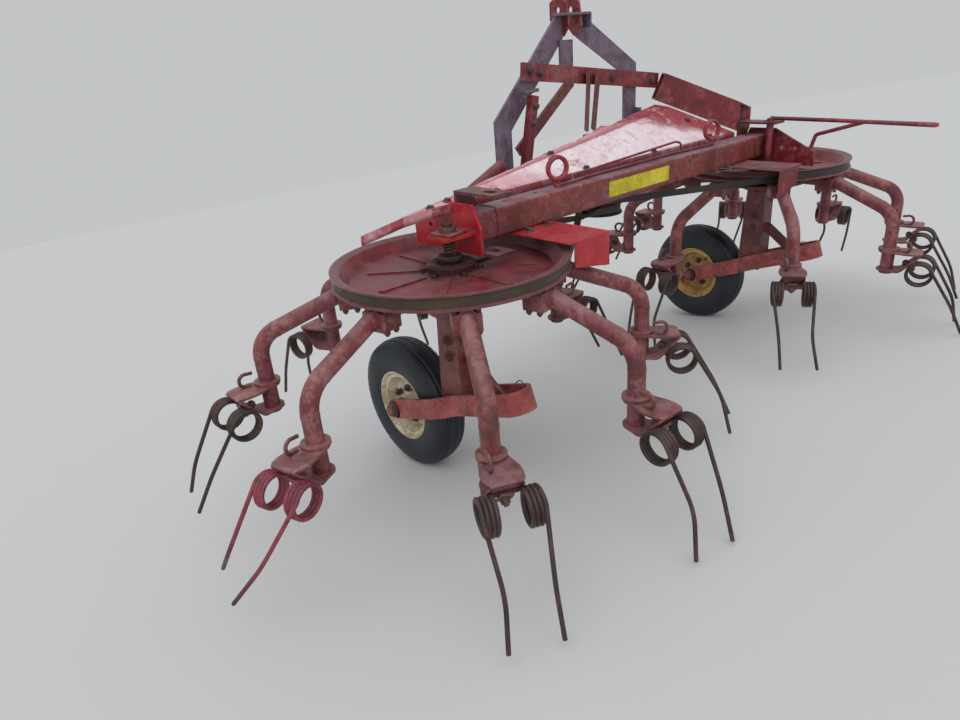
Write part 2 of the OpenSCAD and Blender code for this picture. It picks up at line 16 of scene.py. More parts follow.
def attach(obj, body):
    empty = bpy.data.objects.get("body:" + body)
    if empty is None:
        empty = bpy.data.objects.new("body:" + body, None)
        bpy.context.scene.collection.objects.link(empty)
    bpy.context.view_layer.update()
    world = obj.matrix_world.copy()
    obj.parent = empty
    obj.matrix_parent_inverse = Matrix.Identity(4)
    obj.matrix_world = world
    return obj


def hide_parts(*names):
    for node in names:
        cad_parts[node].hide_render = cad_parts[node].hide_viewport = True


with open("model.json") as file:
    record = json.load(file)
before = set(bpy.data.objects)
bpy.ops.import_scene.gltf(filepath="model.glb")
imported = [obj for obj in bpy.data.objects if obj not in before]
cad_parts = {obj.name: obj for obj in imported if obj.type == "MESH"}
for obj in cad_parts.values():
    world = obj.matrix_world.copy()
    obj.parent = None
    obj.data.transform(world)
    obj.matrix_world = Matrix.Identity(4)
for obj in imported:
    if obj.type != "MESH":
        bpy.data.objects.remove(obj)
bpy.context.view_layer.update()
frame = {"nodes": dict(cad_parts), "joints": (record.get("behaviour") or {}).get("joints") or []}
JOINTS = {joint["name"]: joint for joint in frame["joints"]}

bl_info = {
    "name": "Hay tedder looks",
    "version": (1, 0, 0),
    "blender": (4, 5, 0),
    "location": "View3D > Sidebar > Tedder",
    "description": "Finishes and small fittings of a two-rotor hay tedder",
    "category": "Add Mesh",
}

# The parked frame, read from the rotor joints
SHAFT_DEPTH = 0.06
X, Y, Z = np.eye(3)
UP = np.array(JOINTS["left_rotor_turn"]["axis"], float)
AHEAD = np.array([0.0, UP[2], -UP[1]])
LEFT = np.array(JOINTS["left_rotor_turn"]["pos_m"], float) + SHAFT_DEPTH * UP
RIGHT = np.array(JOINTS["right_rotor_turn"]["pos_m"], float) + SHAFT_DEPTH * UP
MIDDLE = (LEFT + RIGHT) / 2
HALF_PITCH = float(RIGHT[0] - LEFT[0]) / 2
TURN = np.stack([X, AHEAD, UP])

# Wheels, forks and arms in the machine's frame
AXLE_AHEAD, AXLE_DROP = 0.255, 0.505
FORK_RISE = math.radians(19)
ARM_COUNT = 8
ARM_END = 0.516
TYRE_R, CROWN_HALF, TYRE_STEPS = 0.206, 0.041, 216
WHEEL_BOLTS, WHEEL_BOLT_CIRCLE = 5, 0.053
VALVE_TURN = 2.2
HUB_BOLTS, HUB_BOLT_CIRCLE = 6, 0.0745
SEAL_BOLTS, SEAL_CIRCLE = 6, 0.0605

SIDES = (("left", -1), ("right", 1))
LOOKS = {}


def parked(points):
    """Machine frame to the frame of the parked machine: a turn about X, then a lift."""
    return np.asarray(points, float) @ TURN + MIDDLE


# Mesh building


def axes_of(axis):
    """Three unit axes at right angles, the last along the given one."""
    w = np.asarray(axis, float) / np.linalg.norm(axis)
    helper = np.array([0.0, 0.0, 1.0]) if abs(w[2]) < 0.9 else np.array([1.0, 0.0, 0.0])
    u = np.cross(helper, w)
    u /= np.linalg.norm(u)
    return u, np.cross(w, u), w


class Shapes:
    """Gathers grids of points in the machine's frame into one mesh."""

    def __init__(self):
        self.points = []
        self.faces = []
        self.count = 0

    def add(self, points, faces):
        points = np.asarray(points, float).reshape(-1, 3)
        self.points.append(points)
        self.faces.extend([[int(i) + self.count for i in face] for face in faces])
        self.count += len(points)

    def grid(self, points, closed=(False, False), flip=False):
        """Joins a grid of points by quads, round the ends where it is closed."""
        rows, cols = points.shape[:2]
        a, b = np.meshgrid(np.arange(rows - (not closed[0])), np.arange(cols - (not closed[1])),
                           indexing="ij")
        a2, b2 = (a + 1) % rows, (b + 1) % cols
        quads = np.stack([a * cols + b, a * cols + b2, a2 * cols + b2, a2 * cols + b], axis=-1)
        quads = quads.reshape(-1, 4)
        self.add(points, quads[:, ::-1] if flip else quads)

    def turned(self, at, axis, profile, steps=32, corners=0, closed=False):
        """Carries a profile round an axis.

        A row of the profile is its radius, its height along the axis and, for a polygon, its share
        of it: the radius then follows r cos(half a side) / cos(angle from the side's middle).
        """
        profile = np.asarray(profile, float)
        u, v, w = axes_of(axis)
        angle = np.arange(steps) / steps * 2 * math.pi
        radius = np.ones((len(profile), steps))
        if corners:
            part = 2 * math.pi / corners
            side = math.cos(part / 2) / np.cos(angle % part - part / 2)
            radius = 1 + profile[:, 2:3] * (side - 1)
        around = np.cos(angle)[:, None] * u + np.sin(angle)[:, None] * v
        points = (profile[:, :1] * radius)[..., None] * around + profile[:, 1][:, None, None] * w
        self.grid(points + np.asarray(at, float), (closed, True))

    def tube(self, path, radius, sides=10, closed=False, ripple=0.0, upright=Z):
        """Carries a circle along a path; a ripple swells it by a sine of the step, as on a weld."""
        path = np.asarray(path, float)
        run = np.roll(path, -1, 0) - np.roll(path, 1, 0) if closed else np.gradient(path, axis=0)
        run /= np.linalg.norm(run, axis=1)[:, None]
        u = np.cross(run, upright)
        u /= np.linalg.norm(u, axis=1)[:, None]
        v = np.cross(run, u)
        size = radius * (1 + ripple * np.sin(np.arange(len(path)) * 1.7))
        angle = np.arange(sides) / sides * 2 * math.pi
        ring = np.cos(angle)[:, None] * u[:, None] + np.sin(angle)[:, None] * v[:, None]
        points = path[:, None] + size[:, None, None] * ring
        if not closed:
            ends = [np.repeat(path[i][None, None], sides, axis=1) for i in (0, -1)]
            points = np.concatenate([ends[0], points, ends[1]])
        self.grid(points, (closed, True))

    def weld(self, path, radius, upright=Z, closed=True):
        """A rippled bead along a path."""
        self.tube(path, radius, 8, closed, 0.16, upright)

    def slab(self, at, u, v, outline, thick):
        """Lifts a flat outline in the plane of u and v by its thickness, to both sides alike."""
        u, v = np.asarray(u, float), np.asarray(v, float)
        w = np.cross(u, v)
        outline = np.asarray(outline, float)
        flat = np.asarray(at, float) + outline[:, :1] * u + outline[:, 1:] * v
        n = len(outline)
        around = np.arange(n)
        sides = np.stack([around, (around + 1) % n, (around + 1) % n + n, around + n], axis=-1)
        self.add(np.concatenate([flat - w * thick / 2, flat + w * thick / 2]),
                 [*sides.tolist(), list(range(n))[::-1], list(range(n, 2 * n))])

    def band(self, at, u, v, path, halves, thick):
        """Carries a flat rectangle along a path in the plane of u and v, its half width by place."""
        path, u, v = np.asarray(path, float), np.asarray(u, float), np.asarray(v, float)
        off = mitred(path) * thick / 2
        halves = np.asarray(halves, float)[:, None] * np.cross(u, v)
        rows = []
        for way, side in ((1, 1), (1, -1), (-1, -1), (-1, 1)):
            flat = path + way * off
            rows.append(np.asarray(at, float) + flat[:, :1] * u + flat[:, 1:] * v + side * halves)
        points = np.stack(rows, axis=1)
        last = 4 * len(path) - 4
        self.grid(points, (False, True))
        self.add(points.reshape(-1, 3), [[0, 1, 2, 3], [last + 3, last + 2, last + 1, last]])

    def bolt(self, at, axis, across, head, washer=0.0, stud=0.0):
        """A hexagon head with a chamfer, on a washer, with the end of a stud over it."""
        r = across / 2 / math.cos(math.pi / 6)
        low = 0.0
        if washer:
            low = across * 0.09
            self.turned(at, axis, [(0, -0.001), (washer, -0.001), (washer, low * 0.8),
                                   (washer - 0.0006, low), (0, low)], steps=24)
        self.turned(at, axis, [(0, low - 0.001, 0), (r, low - 0.001, 1), (r, low + head * 0.75, 1),
                               (across / 2 * 0.97, low + head, 0), (0, low + head, 0)], 24, 6)
        if stud:
            r = across * 0.32
            self.turned(at, axis, [(0, low + head - 0.001), (r, low + head - 0.001),
                                   (r, low + head + stud - 0.001), (r * 0.85, low + head + stud),
                                   (0, low + head + stud)], steps=20)

    def spring(self, at, axis, radius, wire, turns, length):
        """A helix of wire: an angle that grows evenly, with a height that grows with it."""
        u, v, w = axes_of(axis)
        angle = np.linspace(0, turns * 2 * math.pi, int(turns * 22) + 1)[:, None]
        path = np.asarray(at, float) + radius * (np.cos(angle) * u + np.sin(angle) * v)
        self.tube(path + angle / angle[-1] * length * w, wire / 2, 8, upright=w)

    def piece(self, name, body, look, slot=None, bevel=0.0, closed=True, smooth_to=38.0, uv=None):
        """Makes the gathered shapes a mesh piece that rides on a body."""
        mesh = bpy.data.meshes.new(name)
        mesh.from_pydata(parked(np.concatenate(self.points)).tolist(), [], self.faces)
        if uv is not None:
            layer = mesh.uv_layers.new(name="UVMap")
            corner = np.empty(len(mesh.loops), dtype=np.int64)
            mesh.loops.foreach_get("vertex_index", corner)
            layer.data.foreach_set("uv", np.asarray(uv, float)[corner].ravel())
        form = bmesh.new()
        form.from_mesh(mesh)
        bmesh.ops.remove_doubles(form, verts=form.verts, dist=1e-6)
        bmesh.ops.dissolve_degenerate(form, edges=form.edges, dist=1e-7)
        if closed:
            bmesh.ops.recalc_face_normals(form, faces=form.faces)
        form.to_mesh(mesh)
        form.free()
        mesh.shade_smooth()
        mesh.set_sharp_from_angle(angle=math.radians(smooth_to))
        mesh.materials.append(LOOKS[look])
        made = bpy.data.objects.new(name, mesh)
        bpy.context.scene.collection.objects.link(made)
        if bevel:
            rounded = made.modifiers.new("edges", "BEVEL")
            rounded.width = bevel
            rounded.segments = 2
            rounded.limit_method = "ANGLE"
            rounded.angle_limit = math.radians(35)
        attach(made, body)
        return made


def round_outline(width, height, radius, steps=5):
    """Rectangle with quarter circles at its corners."""
    angle = np.concatenate([np.linspace(q, q + 1, steps) for q in range(4)]) * math.pi / 2
    middle = np.repeat([[1, 1], [-1, 1], [-1, -1], [1, -1]], steps, axis=0)
    middle = middle * (np.array([width, height]) / 2 - radius)
    return middle + radius * np.stack([np.cos(angle), np.sin(angle)], axis=-1)


def unit(vectors):
    """Vectors brought to length 1."""
    return vectors / np.linalg.norm(vectors, axis=-1, keepdims=True)


def headings(angle):
    """Level unit vectors at an angle from X and at a right angle to its left."""
    cos, sin = math.cos(angle), math.sin(angle)
    return np.array([cos, sin, 0.0]), np.array([-sin, cos, 0.0])


def circle(radius, u, v, steps=60):
    """Ring of points in the plane of u and v."""
    angle = np.linspace(0, 2 * math.pi, steps + 1)[:-1, None]
    return radius * (np.cos(angle) * u + np.sin(angle) * v)


def rounded(path, radius, steps=7):
    """Polyline whose inner corners give way to parabolas that start a radius away from them."""
    path = np.asarray(path, float)
    corner = path[1:-1]
    start = (corner + radius * unit(path[:-2] - corner))[:, None]
    end = (corner + radius * unit(path[2:] - corner))[:, None]
    t = np.linspace(0, 1, steps)[None, :, None]
    curve = (1 - t) ** 2 * start + 2 * t * (1 - t) * corner[:, None] + t ** 2 * end
    return np.concatenate([path[:1], curve.reshape(-1, path.shape[1]), path[-1:]])


def mitred(path):
    """Sideways vectors of a flat path that give a strip along it the same width at its corners."""
    run = unit(np.diff(path, axis=0))
    side = np.stack([-run[:, 1], run[:, 0]], axis=-1)
    share = 1 + np.sum(side[:-1] * side[1:], axis=1, keepdims=True)
    return np.concatenate([side[:1], (side[:-1] + side[1:]) / share, side[-1:]])


def ribbon(path, thick):
    """Outline of a strip: a flat path moved to both sides by half its thickness."""
    path = np.asarray(path, float)
    off = mitred(path) * thick / 2
    return np.concatenate([path + off, (path - off)[::-1]])


# Node materials


class Nodes:
    """A small wrapper that adds and links shader nodes of one material."""

    def __init__(self, name):
        self.material = bpy.data.materials.new(name)
        self.material.use_nodes = True
        self.tree = self.material.node_tree
        self.tree.nodes.clear()
        self.shader = self.add("ShaderNodeBsdfPrincipled")
        self.add("ShaderNodeOutputMaterial", {"Surface": self.shader.outputs[0]})
        self.coords = self.add("ShaderNodeTexCoord").outputs["Object"]

    def add(self, kind, inputs=None, **settings):
        """Adds a node with its settings; an input is linked to a socket or takes a plain value."""
        node = self.tree.nodes.new(kind)
        for name, value in settings.items():
            setattr(node, name, value)
        for key, value in (inputs or {}).items():
            if isinstance(value, bpy.types.NodeSocket):
                self.tree.links.new(value, node.inputs[key])
            else:
                node.inputs[key].default_value = value
        return node

    def math(self, operation, a, b=0.5, clamp=False):
        return self.add("ShaderNodeMath", {0: a, 1: b}, operation=operation,
                        use_clamp=clamp).outputs[0]

    def times(self, a, b):
        return self.math("MULTIPLY", a, b)

    def plus(self, a, b):
        return self.math("ADD", a, b)

    def less(self, a, b):
        return self.math("SUBTRACT", a, b)

    def lay(self, base, tone, share, part):
        """Lays a tone over a base by a share times a part."""
        return self.mix(self.times(share, part), base, tone)

    def noise(self, scale, detail=6.0, rough=0.6, stretch=(1.0, 1.0, 1.0), shift=0.0):
        mapping = self.add("ShaderNodeMapping", {
            "Vector": self.coords, "Scale": stretch, "Location": (shift, shift * 0.7, shift * 1.3)})
        return self.add("ShaderNodeTexNoise", {
            "Vector": mapping.outputs[0], "Scale": scale, "Detail": detail,
            "Roughness": rough}).outputs[0]

    def steps(self, value, low, high):
        """Smooth step of a value from 0 at low to 1 at high."""
        return self.add("ShaderNodeMapRange", {"Value": value, "From Min": low, "From Max": high},
                        interpolation_type="SMOOTHSTEP").outputs[0]

    def mix(self, share, a, b):
        a, b = [colour(tone) if isinstance(tone, str) else tone for tone in (a, b)]
        return self.add("ShaderNodeMix", {0: share, 6: a, 7: b}, data_type="RGBA").outputs[2]

    def edges(self):
        """Share of an edge: how far a rounded normal turns from the plain one."""
        bevel = self.add("ShaderNodeBevel", {"Radius": 0.004}, samples=4)
        plain = self.add("ShaderNodeNewGeometry").outputs["Normal"]
        dot = self.add("ShaderNodeVectorMath", {0: bevel.outputs[0], 1: plain},
                       operation="DOT_PRODUCT")
        return self.math("SUBTRACT", 1.0, dot.outputs["Value"], clamp=True)

    def distance(self, point):
        """Distance of a point of the surface from a place in the parked frame, in metres."""
        return self.add("ShaderNodeVectorMath", {0: self.coords, 1: point},
                        operation="DISTANCE").outputs["Value"]

    def upward(self):
        """How far the surface looks up, from -1 to 1."""
        normal = self.add("ShaderNodeNewGeometry").outputs["Normal"]
        return self.add("ShaderNodeSeparateXYZ", {0: normal}).outputs[2]

    def finish(self, tone, rough, height, strength, distance):
        """Gives the shader its colour, its roughness and its bump."""
        bump = self.add("ShaderNodeBump", {"Strength": strength, "Distance": distance,
                                           "Height": height})
        for name, socket in (("Base Color", tone), ("Roughness", rough),
                             ("Normal", bump.outputs[0])):
            self.tree.links.new(socket, self.shader.inputs[name])
        return self.material


def colour(text):
    """Linear colour of a hexadecimal one."""
    value = [int(text[i:i + 2], 16) / 255 for i in (1, 3, 5)]
    linear = [v / 12.92 if v <= 0.04045 else ((v + 0.055) / 1.055) ** 2.4 for v in value]
    return (*linear, 1.0)


def worn_paint(name, paint, faded, rust, dirt, rust_share=0.35, fade_share=0.5, edge=0.6, gloss=0.45,
               scale=1.0, shift=0.0, edge_colour="#8f7a70", dust="#8d7f80", dusty=0.35,
               blotch=0.5, bloom=0.35, bloom_colour="#a87672", tone=None):
    """Old paint: two tones of paint with darker blotches and a pale bloom, rust in patches and at
    edges, streaks of dirt, dust on what looks up, which also paints the light on the top faces,
    and fine grain. A tone function may change the paint by place first."""
    n = Nodes(name)
    broad = n.noise(3.5 * scale, 5, 0.6, shift=shift)
    patches = n.noise(16 * scale, 8, 0.68, shift=shift + 3)
    spots = n.noise(55 * scale, 7, 0.72, shift=shift + 9)
    fine = n.noise(170 * scale, 6, 0.7, shift=shift + 5)
    streaks = n.noise(30 * scale, 6, 0.6, stretch=(1.0, 1.0, 0.18), shift=shift + 7)
    base = n.lay(paint, faded, n.steps(broad, 0.38, 0.62), fade_share)
    if tone is not None:
        base = tone(n, base, broad, patches)
    pale = n.steps(n.less(n.plus(spots, patches), n.times(broad, 0.4)), 0.78, 0.98)
    base = n.lay(base, bloom_colour, pale, bloom)
    dark = n.steps(n.less(n.plus(spots, broad), patches), 0.5, 0.64)
    base = n.lay(base, dirt, dark, blotch)
    base = n.lay(base, dirt, n.steps(streaks, 0.5, 0.7), 0.4)
    edges = n.edges()
    worn = n.plus(patches, n.times(edges, edge * 0.5))
    limit = 0.74 - 0.26 * rust_share
    rusty = n.steps(n.plus(worn, n.times(spots, 0.12)), limit + 0.06, limit + 0.12)
    base = n.mix(rusty, base, n.mix(n.steps(fine, 0.35, 0.65), rust, dirt))
    chips = n.steps(spots, 0.655, 0.68)
    base = n.lay(base, dirt, chips, 0.8 * min(1.0, rust_share * 2))
    rubbed = n.steps(n.times(edges, n.steps(fine, 0.3, 0.6)), 0.1, 0.34)
    base = n.lay(base, edge_colour, rubbed, edge)
    base = n.lay(base, dirt, n.steps(fine, 0.5, 0.66), 0.3)
    # Dust on what looks up: its pale tone also paints the light that falls on the top faces
    dust_and_top_light = n.times(n.steps(n.upward(), 0.35, 0.98), n.steps(patches, 0.25, 0.6))
    base = n.lay(base, dust, dust_and_top_light, dusty)
    rough = n.plus(n.plus(n.times(rusty, 0.35), n.times(broad, 0.3)), n.times(dust_and_top_light, 0.15))
    height = n.less(n.less(n.times(fine, 0.4), n.times(rusty, 0.5)), n.times(chips, 0.4))
    return n.finish(base, n.math("ADD", rough, gloss - 0.15, clamp=True), height, 0.45, 0.0012)


def clouded(n, base, layers):
    """Lays tones over a base in clouds. A layer is its noise's scale, detail, roughness and shift,
    the two limits of the step, the most that it covers, and its tone."""
    for scale, detail, rough, shift, low, high, part, tone in layers:
        share = n.steps(n.noise(scale, detail, rough, shift=shift), low, high)
        base = n.lay(base, tone, share, part)
    return base


def dish_tone(n, base, broad, patches):
    """A sheave's tones: dark oil at the hub, dusty clouds over the dish, a mauve rim band."""
    away = n.math("MINIMUM", n.distance(LEFT), n.distance(RIGHT))
    base = n.lay(base, "#8a4650", n.steps(n.plus(patches, n.times(broad, 0.5)), 0.74, 0.96), 0.4)
    base = clouded(n, base, ((60, 8, 0.75, 31, 0.56, 0.72, 0.5, "#3e1419"),
                             (9, 5, 0.6, 47, 0.5, 0.66, 0.5, "#8e0d1a")))
    oily = n.less(1.0, n.steps(n.plus(away, n.times(patches, 0.08)), 0.1, 0.19))
    base = n.lay(base, "#241a1b", oily, 0.85)
    return n.lay(base, "#6a4248", n.steps(away, 0.284, 0.29), 0.75)


def bar_tone(n, base, broad, patches):
    """Bright spots of the first paint that show in a dusty bar, and a few black ones."""
    return clouded(n, base, ((34, 5, 0.55, 53, 0.6, 0.64, 0.8, "#9c1424"),
                             (27, 5, 0.55, 59, 0.65, 0.69, 0.85, "#2a1c16")))


def beam_tone(n, base, broad, patches):
    """Rust that runs along the beam in orange and violet stains."""
    long = n.noise(11, 8, 0.66, stretch=(0.35, 1.0, 1.0), shift=61)
    base = n.lay(base, "#86482c", n.steps(long, 0.5, 0.62), 0.7)
    violet = n.noise(8, 7, 0.66, stretch=(0.4, 1.0, 1.0), shift=67)
    return n.lay(base, "#6c444e", n.steps(violet, 0.52, 0.66), 0.6)


def tine_tone(n, base, broad, patches):
    """Raspberry paint that is left on one tine near its coils."""
    near = n.distance(parked(np.array([-HALF_PITCH - 0.62, -0.135, -0.36])))
    fresh = n.less(1.0, n.steps(n.plus(near, n.times(patches, 0.12)), 0.14, 0.34))
    return n.lay(base, "#9c3a4c", fresh, 0.85)


def arm_tone(n, base, broad, patches):
    """Brown stains and salmon and grey bloom in clouds along the arms."""
    return clouded(n, base, ((7, 6, 0.6, 17, 0.48, 0.64, 0.65, "#9c5650"),
                             (14, 6, 0.6, 29, 0.58, 0.68, 0.5, "#84706e"),
                             (22, 7, 0.7, 23, 0.54, 0.66, 0.6, "#7c4a2e")))


def cover_tone(n, base, broad, patches):
    """A cover bleached in the middle, its near-white paint also a painted sheen, red at its ends,
    along its front band and its edges; the pink of the front band toward the front is painted sheen,
    and the dark crimson at the rear edge is painted shade. The map runs from 0 at the left end to 1,
    and from 0 at the rear edge over the crease at 1 to 2."""
    place = n.add("ShaderNodeUVMap", uv_map="UVMap").outputs[0]
    along, across = n.add("ShaderNodeSeparateXYZ", {0: place}).outputs[:2]
    wander = n.times(n.less(broad, 0.5), 0.4)
    soft = n.plus(along, wander)
    base = n.lay(base, "#c04c50", n.less(1.0, n.steps(soft, 0.12, 0.46)), 0.72)
    base = clouded(n, base, ((5, 6, 0.62, 71, 0.42, 0.62, 0.2, "#d8949c"),))
    # Painted sheen: the front band's dark red turns pink toward the front edge
    band_sheen = n.steps(n.plus(across, n.times(wander, 2.0)), 1.2, 1.9)
    band_paint_and_sheen = n.mix(band_sheen, "#a83a46", "#d28a94")
    base = n.lay(base, band_paint_and_sheen, n.steps(across, 0.98, 1.02), 0.85)
    # Painted shade: dark crimson along the rear edge and its lip, next to the beam
    base = n.lay(base, "#8c1a28", n.less(1.0, n.steps(across, 0.01, 0.05)), 0.85)
    right = n.steps(n.plus(soft, n.times(across, 0.1)), 0.9, 0.99)
    base = n.lay(base, "#8e1424", right, 0.95)
    crease = n.less(1.0, n.steps(n.math("ABSOLUTE", n.less(across, 1.0)), 0.0, 0.05))
    chipped = n.times(crease, n.steps(n.noise(40, 8, 0.75, shift=41), 0.45, 0.6))
    base = n.lay(base, "#7c1c28", chipped, 0.7)
    front = n.steps(n.plus(across, n.times(patches, 0.12)), 1.97, 2.03)
    base = n.lay(base, "#7a1420", front, 0.8)
    scratches = n.noise(24, 8, 0.8, stretch=(0.25, 1.0, 1.0), shift=73)
    return n.lay(base, "#8c3a40", n.steps(scratches, 0.6, 0.63), 0.6)


def rubber(name, tone, dust, dusty):
    """Rubber with a dusty bloom that gathers in broad clouds."""
    n = Nodes(name)
    share = n.times(n.steps(n.noise(7, 6, 0.6), 0.35, 0.75), dusty)
    return n.finish(n.mix(share, tone, dust), n.plus(n.times(share, 0.4), 0.42),
                    n.noise(220, 5, 0.7, shift=2), 0.25, 0.0006)


def bare_metal(name, tone, dark, rust, rust_share, metallic):
    """Bare steel with dark mottling and rust in its dull places."""
    n = Nodes(name)
    broad = n.noise(24, 7, 0.65)
    fine = n.noise(190, 6, 0.7, shift=4)
    base = n.mix(n.steps(broad, 0.35, 0.65), tone, dark)
    rusty = n.steps(n.plus(broad, n.times(fine, 0.3)), 0.86 - 0.4 * rust_share, 1.0)
    n.shader.inputs["Metallic"].default_value = metallic
    return n.finish(n.mix(rusty, base, rust), n.plus(n.times(fine, 0.35), 0.3), fine, 0.2, 0.0006)


# Settings


class TedderStageSettings(bpy.types.PropertyGroup):
    """Camera, floor and light."""

    eye: bpy.props.FloatVectorProperty(
        name="Camera place", description="Camera in the machine's own frame",
        default=(-1.841, -1.34, 0.476), unit="LENGTH")
    yaw: bpy.props.FloatProperty(
        name="Yaw", description="Turn of the view from straight ahead to the right",
        default=0.692, unit="ROTATION")
    pitch: bpy.props.FloatProperty(
        name="Pitch", description="Fall of the view", default=0.428, unit="ROTATION")
    roll: bpy.props.FloatProperty(
        name="Roll", description="Roll of the camera", default=-0.087, unit="ROTATION")
    lens: bpy.props.FloatProperty(
        name="Lens", description="Focal length for a sensor of 36 mm", default=25.5, unit="CAMERA")
    sky: bpy.props.FloatProperty(
        name="Sky", description="Strength of the even light from all round", default=0.72)
    lamp: bpy.props.FloatProperty(
        name="Lamp", description="Strength of the soft light from overhead", default=0.9)
    floor_tone: bpy.props.FloatVectorProperty(
        name="Floor", description="Colour of the floor", subtype="COLOR",
        default=(0.58, 0.58, 0.57))


class TedderPaintSettings(bpy.types.PropertyGroup):
    """Main paint tones."""

    rust_share: bpy.props.FloatProperty(
        name="Rust", description="Share of the paint that rust has taken", default=0.35,
        subtype="FACTOR")


class TedderWheelSettings(bpy.types.PropertyGroup):
    """Tyres."""

    groove: bpy.props.FloatProperty(
        name="Groove depth", description="Depth of the tyres' grooves", default=0.0032, unit="LENGTH")


class TedderRotorSettings(bpy.types.PropertyGroup):
    """Turn of each rotor's first arm."""

    left_phase: bpy.props.FloatProperty(
        name="Left rotor", description="Turn of the left rotor's first arm in degrees", default=12.0)
    right_phase: bpy.props.FloatProperty(
        name="Right rotor", description="Turn of the right rotor's first arm in degrees",
        default=40.0)


class TedderCoverSettings(bpy.types.PropertyGroup):
    """Cover."""

    dent: bpy.props.FloatProperty(
        name="Dents", description="Depth of the dents at the cover's front edge", default=0.0028,
        unit="LENGTH")


# Operators

FLOOR_REACH = 30.0
SKY_TINT = (0.93, 0.96, 1.0)
SUN_ON_FLOOR = 0.301
# A sun is its name, its turn from straight down about X and Y in degrees, its softness and share
SUNS = (("overhead", (24.0, -20.0), 75.0, 1.0), ("side", (52.0, -48.0), 60.0, 0.45))


class TEDDER_OT_stage(bpy.types.Operator):
    """Sets the camera, the floor, the lamps and the pale surroundings"""

    bl_idname = "tedder.stage"
    bl_label = "Stage"

    def execute(self, context):
        s = context.scene.tedder_stage
        yaw, pitch, roll = s.yaw, s.pitch, s.roll
        ahead = np.array([math.sin(yaw) * math.cos(pitch), math.cos(yaw) * math.cos(pitch),
                          -math.sin(pitch)])
        side = np.array([math.cos(yaw), -math.sin(yaw), 0.0])
        over = np.cross(side, ahead)
        right = math.cos(roll) * side + math.sin(roll) * over
        up = -math.sin(roll) * side + math.cos(roll) * over
        axes = np.stack([right, up, -ahead]) @ TURN
        place = parked(np.array(s.eye))
        camera_data = bpy.data.cameras.new("camera")
        camera_data.lens = s.lens
        camera_data.sensor_width = 36.0
        camera_data.clip_start = 0.05
        camera_data.clip_end = 60.0
        camera = bpy.data.objects.new("camera", camera_data)
        context.scene.collection.objects.link(camera)
        camera.matrix_world = Matrix([[*axes[:, i], place[i]] for i in range(3)] + [[0, 0, 0, 1]])
        context.scene.camera = camera
        self.floor(s)
        self.lamps(context, s)
        self.surroundings(context, s)
        context.scene.view_settings.view_transform = "Standard"
        return {"FINISHED"}

    def floor(self, s):
        mesh = bpy.data.meshes.new("floor")
        corners = [(x * FLOOR_REACH, y * FLOOR_REACH, 0)
                   for x, y in ((-1, -1), (1, -1), (1, 1), (-1, 1))]
        mesh.from_pydata(corners, [], [(0, 1, 2, 3)])
        n = Nodes("floor")
        n.shader.inputs["Base Color"].default_value = (*s.floor_tone, 1.0)
        n.shader.inputs["Roughness"].default_value = 0.9
        mesh.materials.append(n.material)
        floor = bpy.data.objects.new("floor", mesh)
        bpy.context.scene.collection.objects.link(floor)

    def lamps(self, context, s):
        for name, turn, softness, share in SUNS:
            data = bpy.data.lights.new(name, "SUN")
            data.angle = math.radians(softness)
            data.energy = s.lamp * share
            lamp = bpy.data.objects.new(name, data)
            context.scene.collection.objects.link(lamp)
            lamp.location = (0.0, 0.0, 4.0)
            lamp.rotation_euler = (math.radians(turn[0]), math.radians(turn[1]), 0.0)

    def surroundings(self, context, s):
        """Even light from all round; the camera and what shines see the floor's own tone there."""
        world = bpy.data.worlds.new("surroundings")
        context.scene.world = world
        world.use_nodes = True
        tree = world.node_tree
        tree.nodes.clear()
        light, seen, path, first, second, mix, out = [
            tree.nodes.new(kind) for kind in (
                "ShaderNodeBackground", "ShaderNodeBackground", "ShaderNodeLightPath",
                "ShaderNodeMath", "ShaderNodeMath", "ShaderNodeMixShader", "ShaderNodeOutputWorld")]
        light.inputs["Color"].default_value = (*SKY_TINT, 1.0)
        light.inputs["Strength"].default_value = s.sky
        level = SUN_ON_FLOOR * s.lamp
        seen.inputs["Color"].default_value = (
            *[tone * (s.sky * tint + level) for tone, tint in zip(s.floor_tone, SKY_TINT)], 1.0)
        first.operation = second.operation = "MAXIMUM"
        for source, into in (
                (path.outputs["Is Camera Ray"], first.inputs[0]),
                (path.outputs["Is Glossy Ray"], first.inputs[1]),
                (first.outputs[0], second.inputs[0]),
                (path.outputs["Is Transmission Ray"], second.inputs[1]),
                (second.outputs[0], mix.inputs[0]), (light.outputs[0], mix.inputs[1]),
                (seen.outputs[0], mix.inputs[2]), (mix.outputs[0], out.inputs[0])):
            tree.links.new(source, into)


class TEDDER_OT_paint(bpy.types.Operator):
    """Gives every solid of the frame its finish"""

    bl_idname = "tedder.paint"
    bl_label = "Paint"

    def execute(self, context):
        LOOKS.update(finishes())
        for name, piece in frame["nodes"].items():
            piece.data.materials.clear()
            piece.data.materials.append(LOOKS[FINISH_OF[name]])
        return {"FINISHED"}


def wheel_middle(side, across=0.0):
    """Point on a wheel's axle in the machine frame."""
    return np.array([side * HALF_PITCH + across, AXLE_AHEAD, -AXLE_DROP])


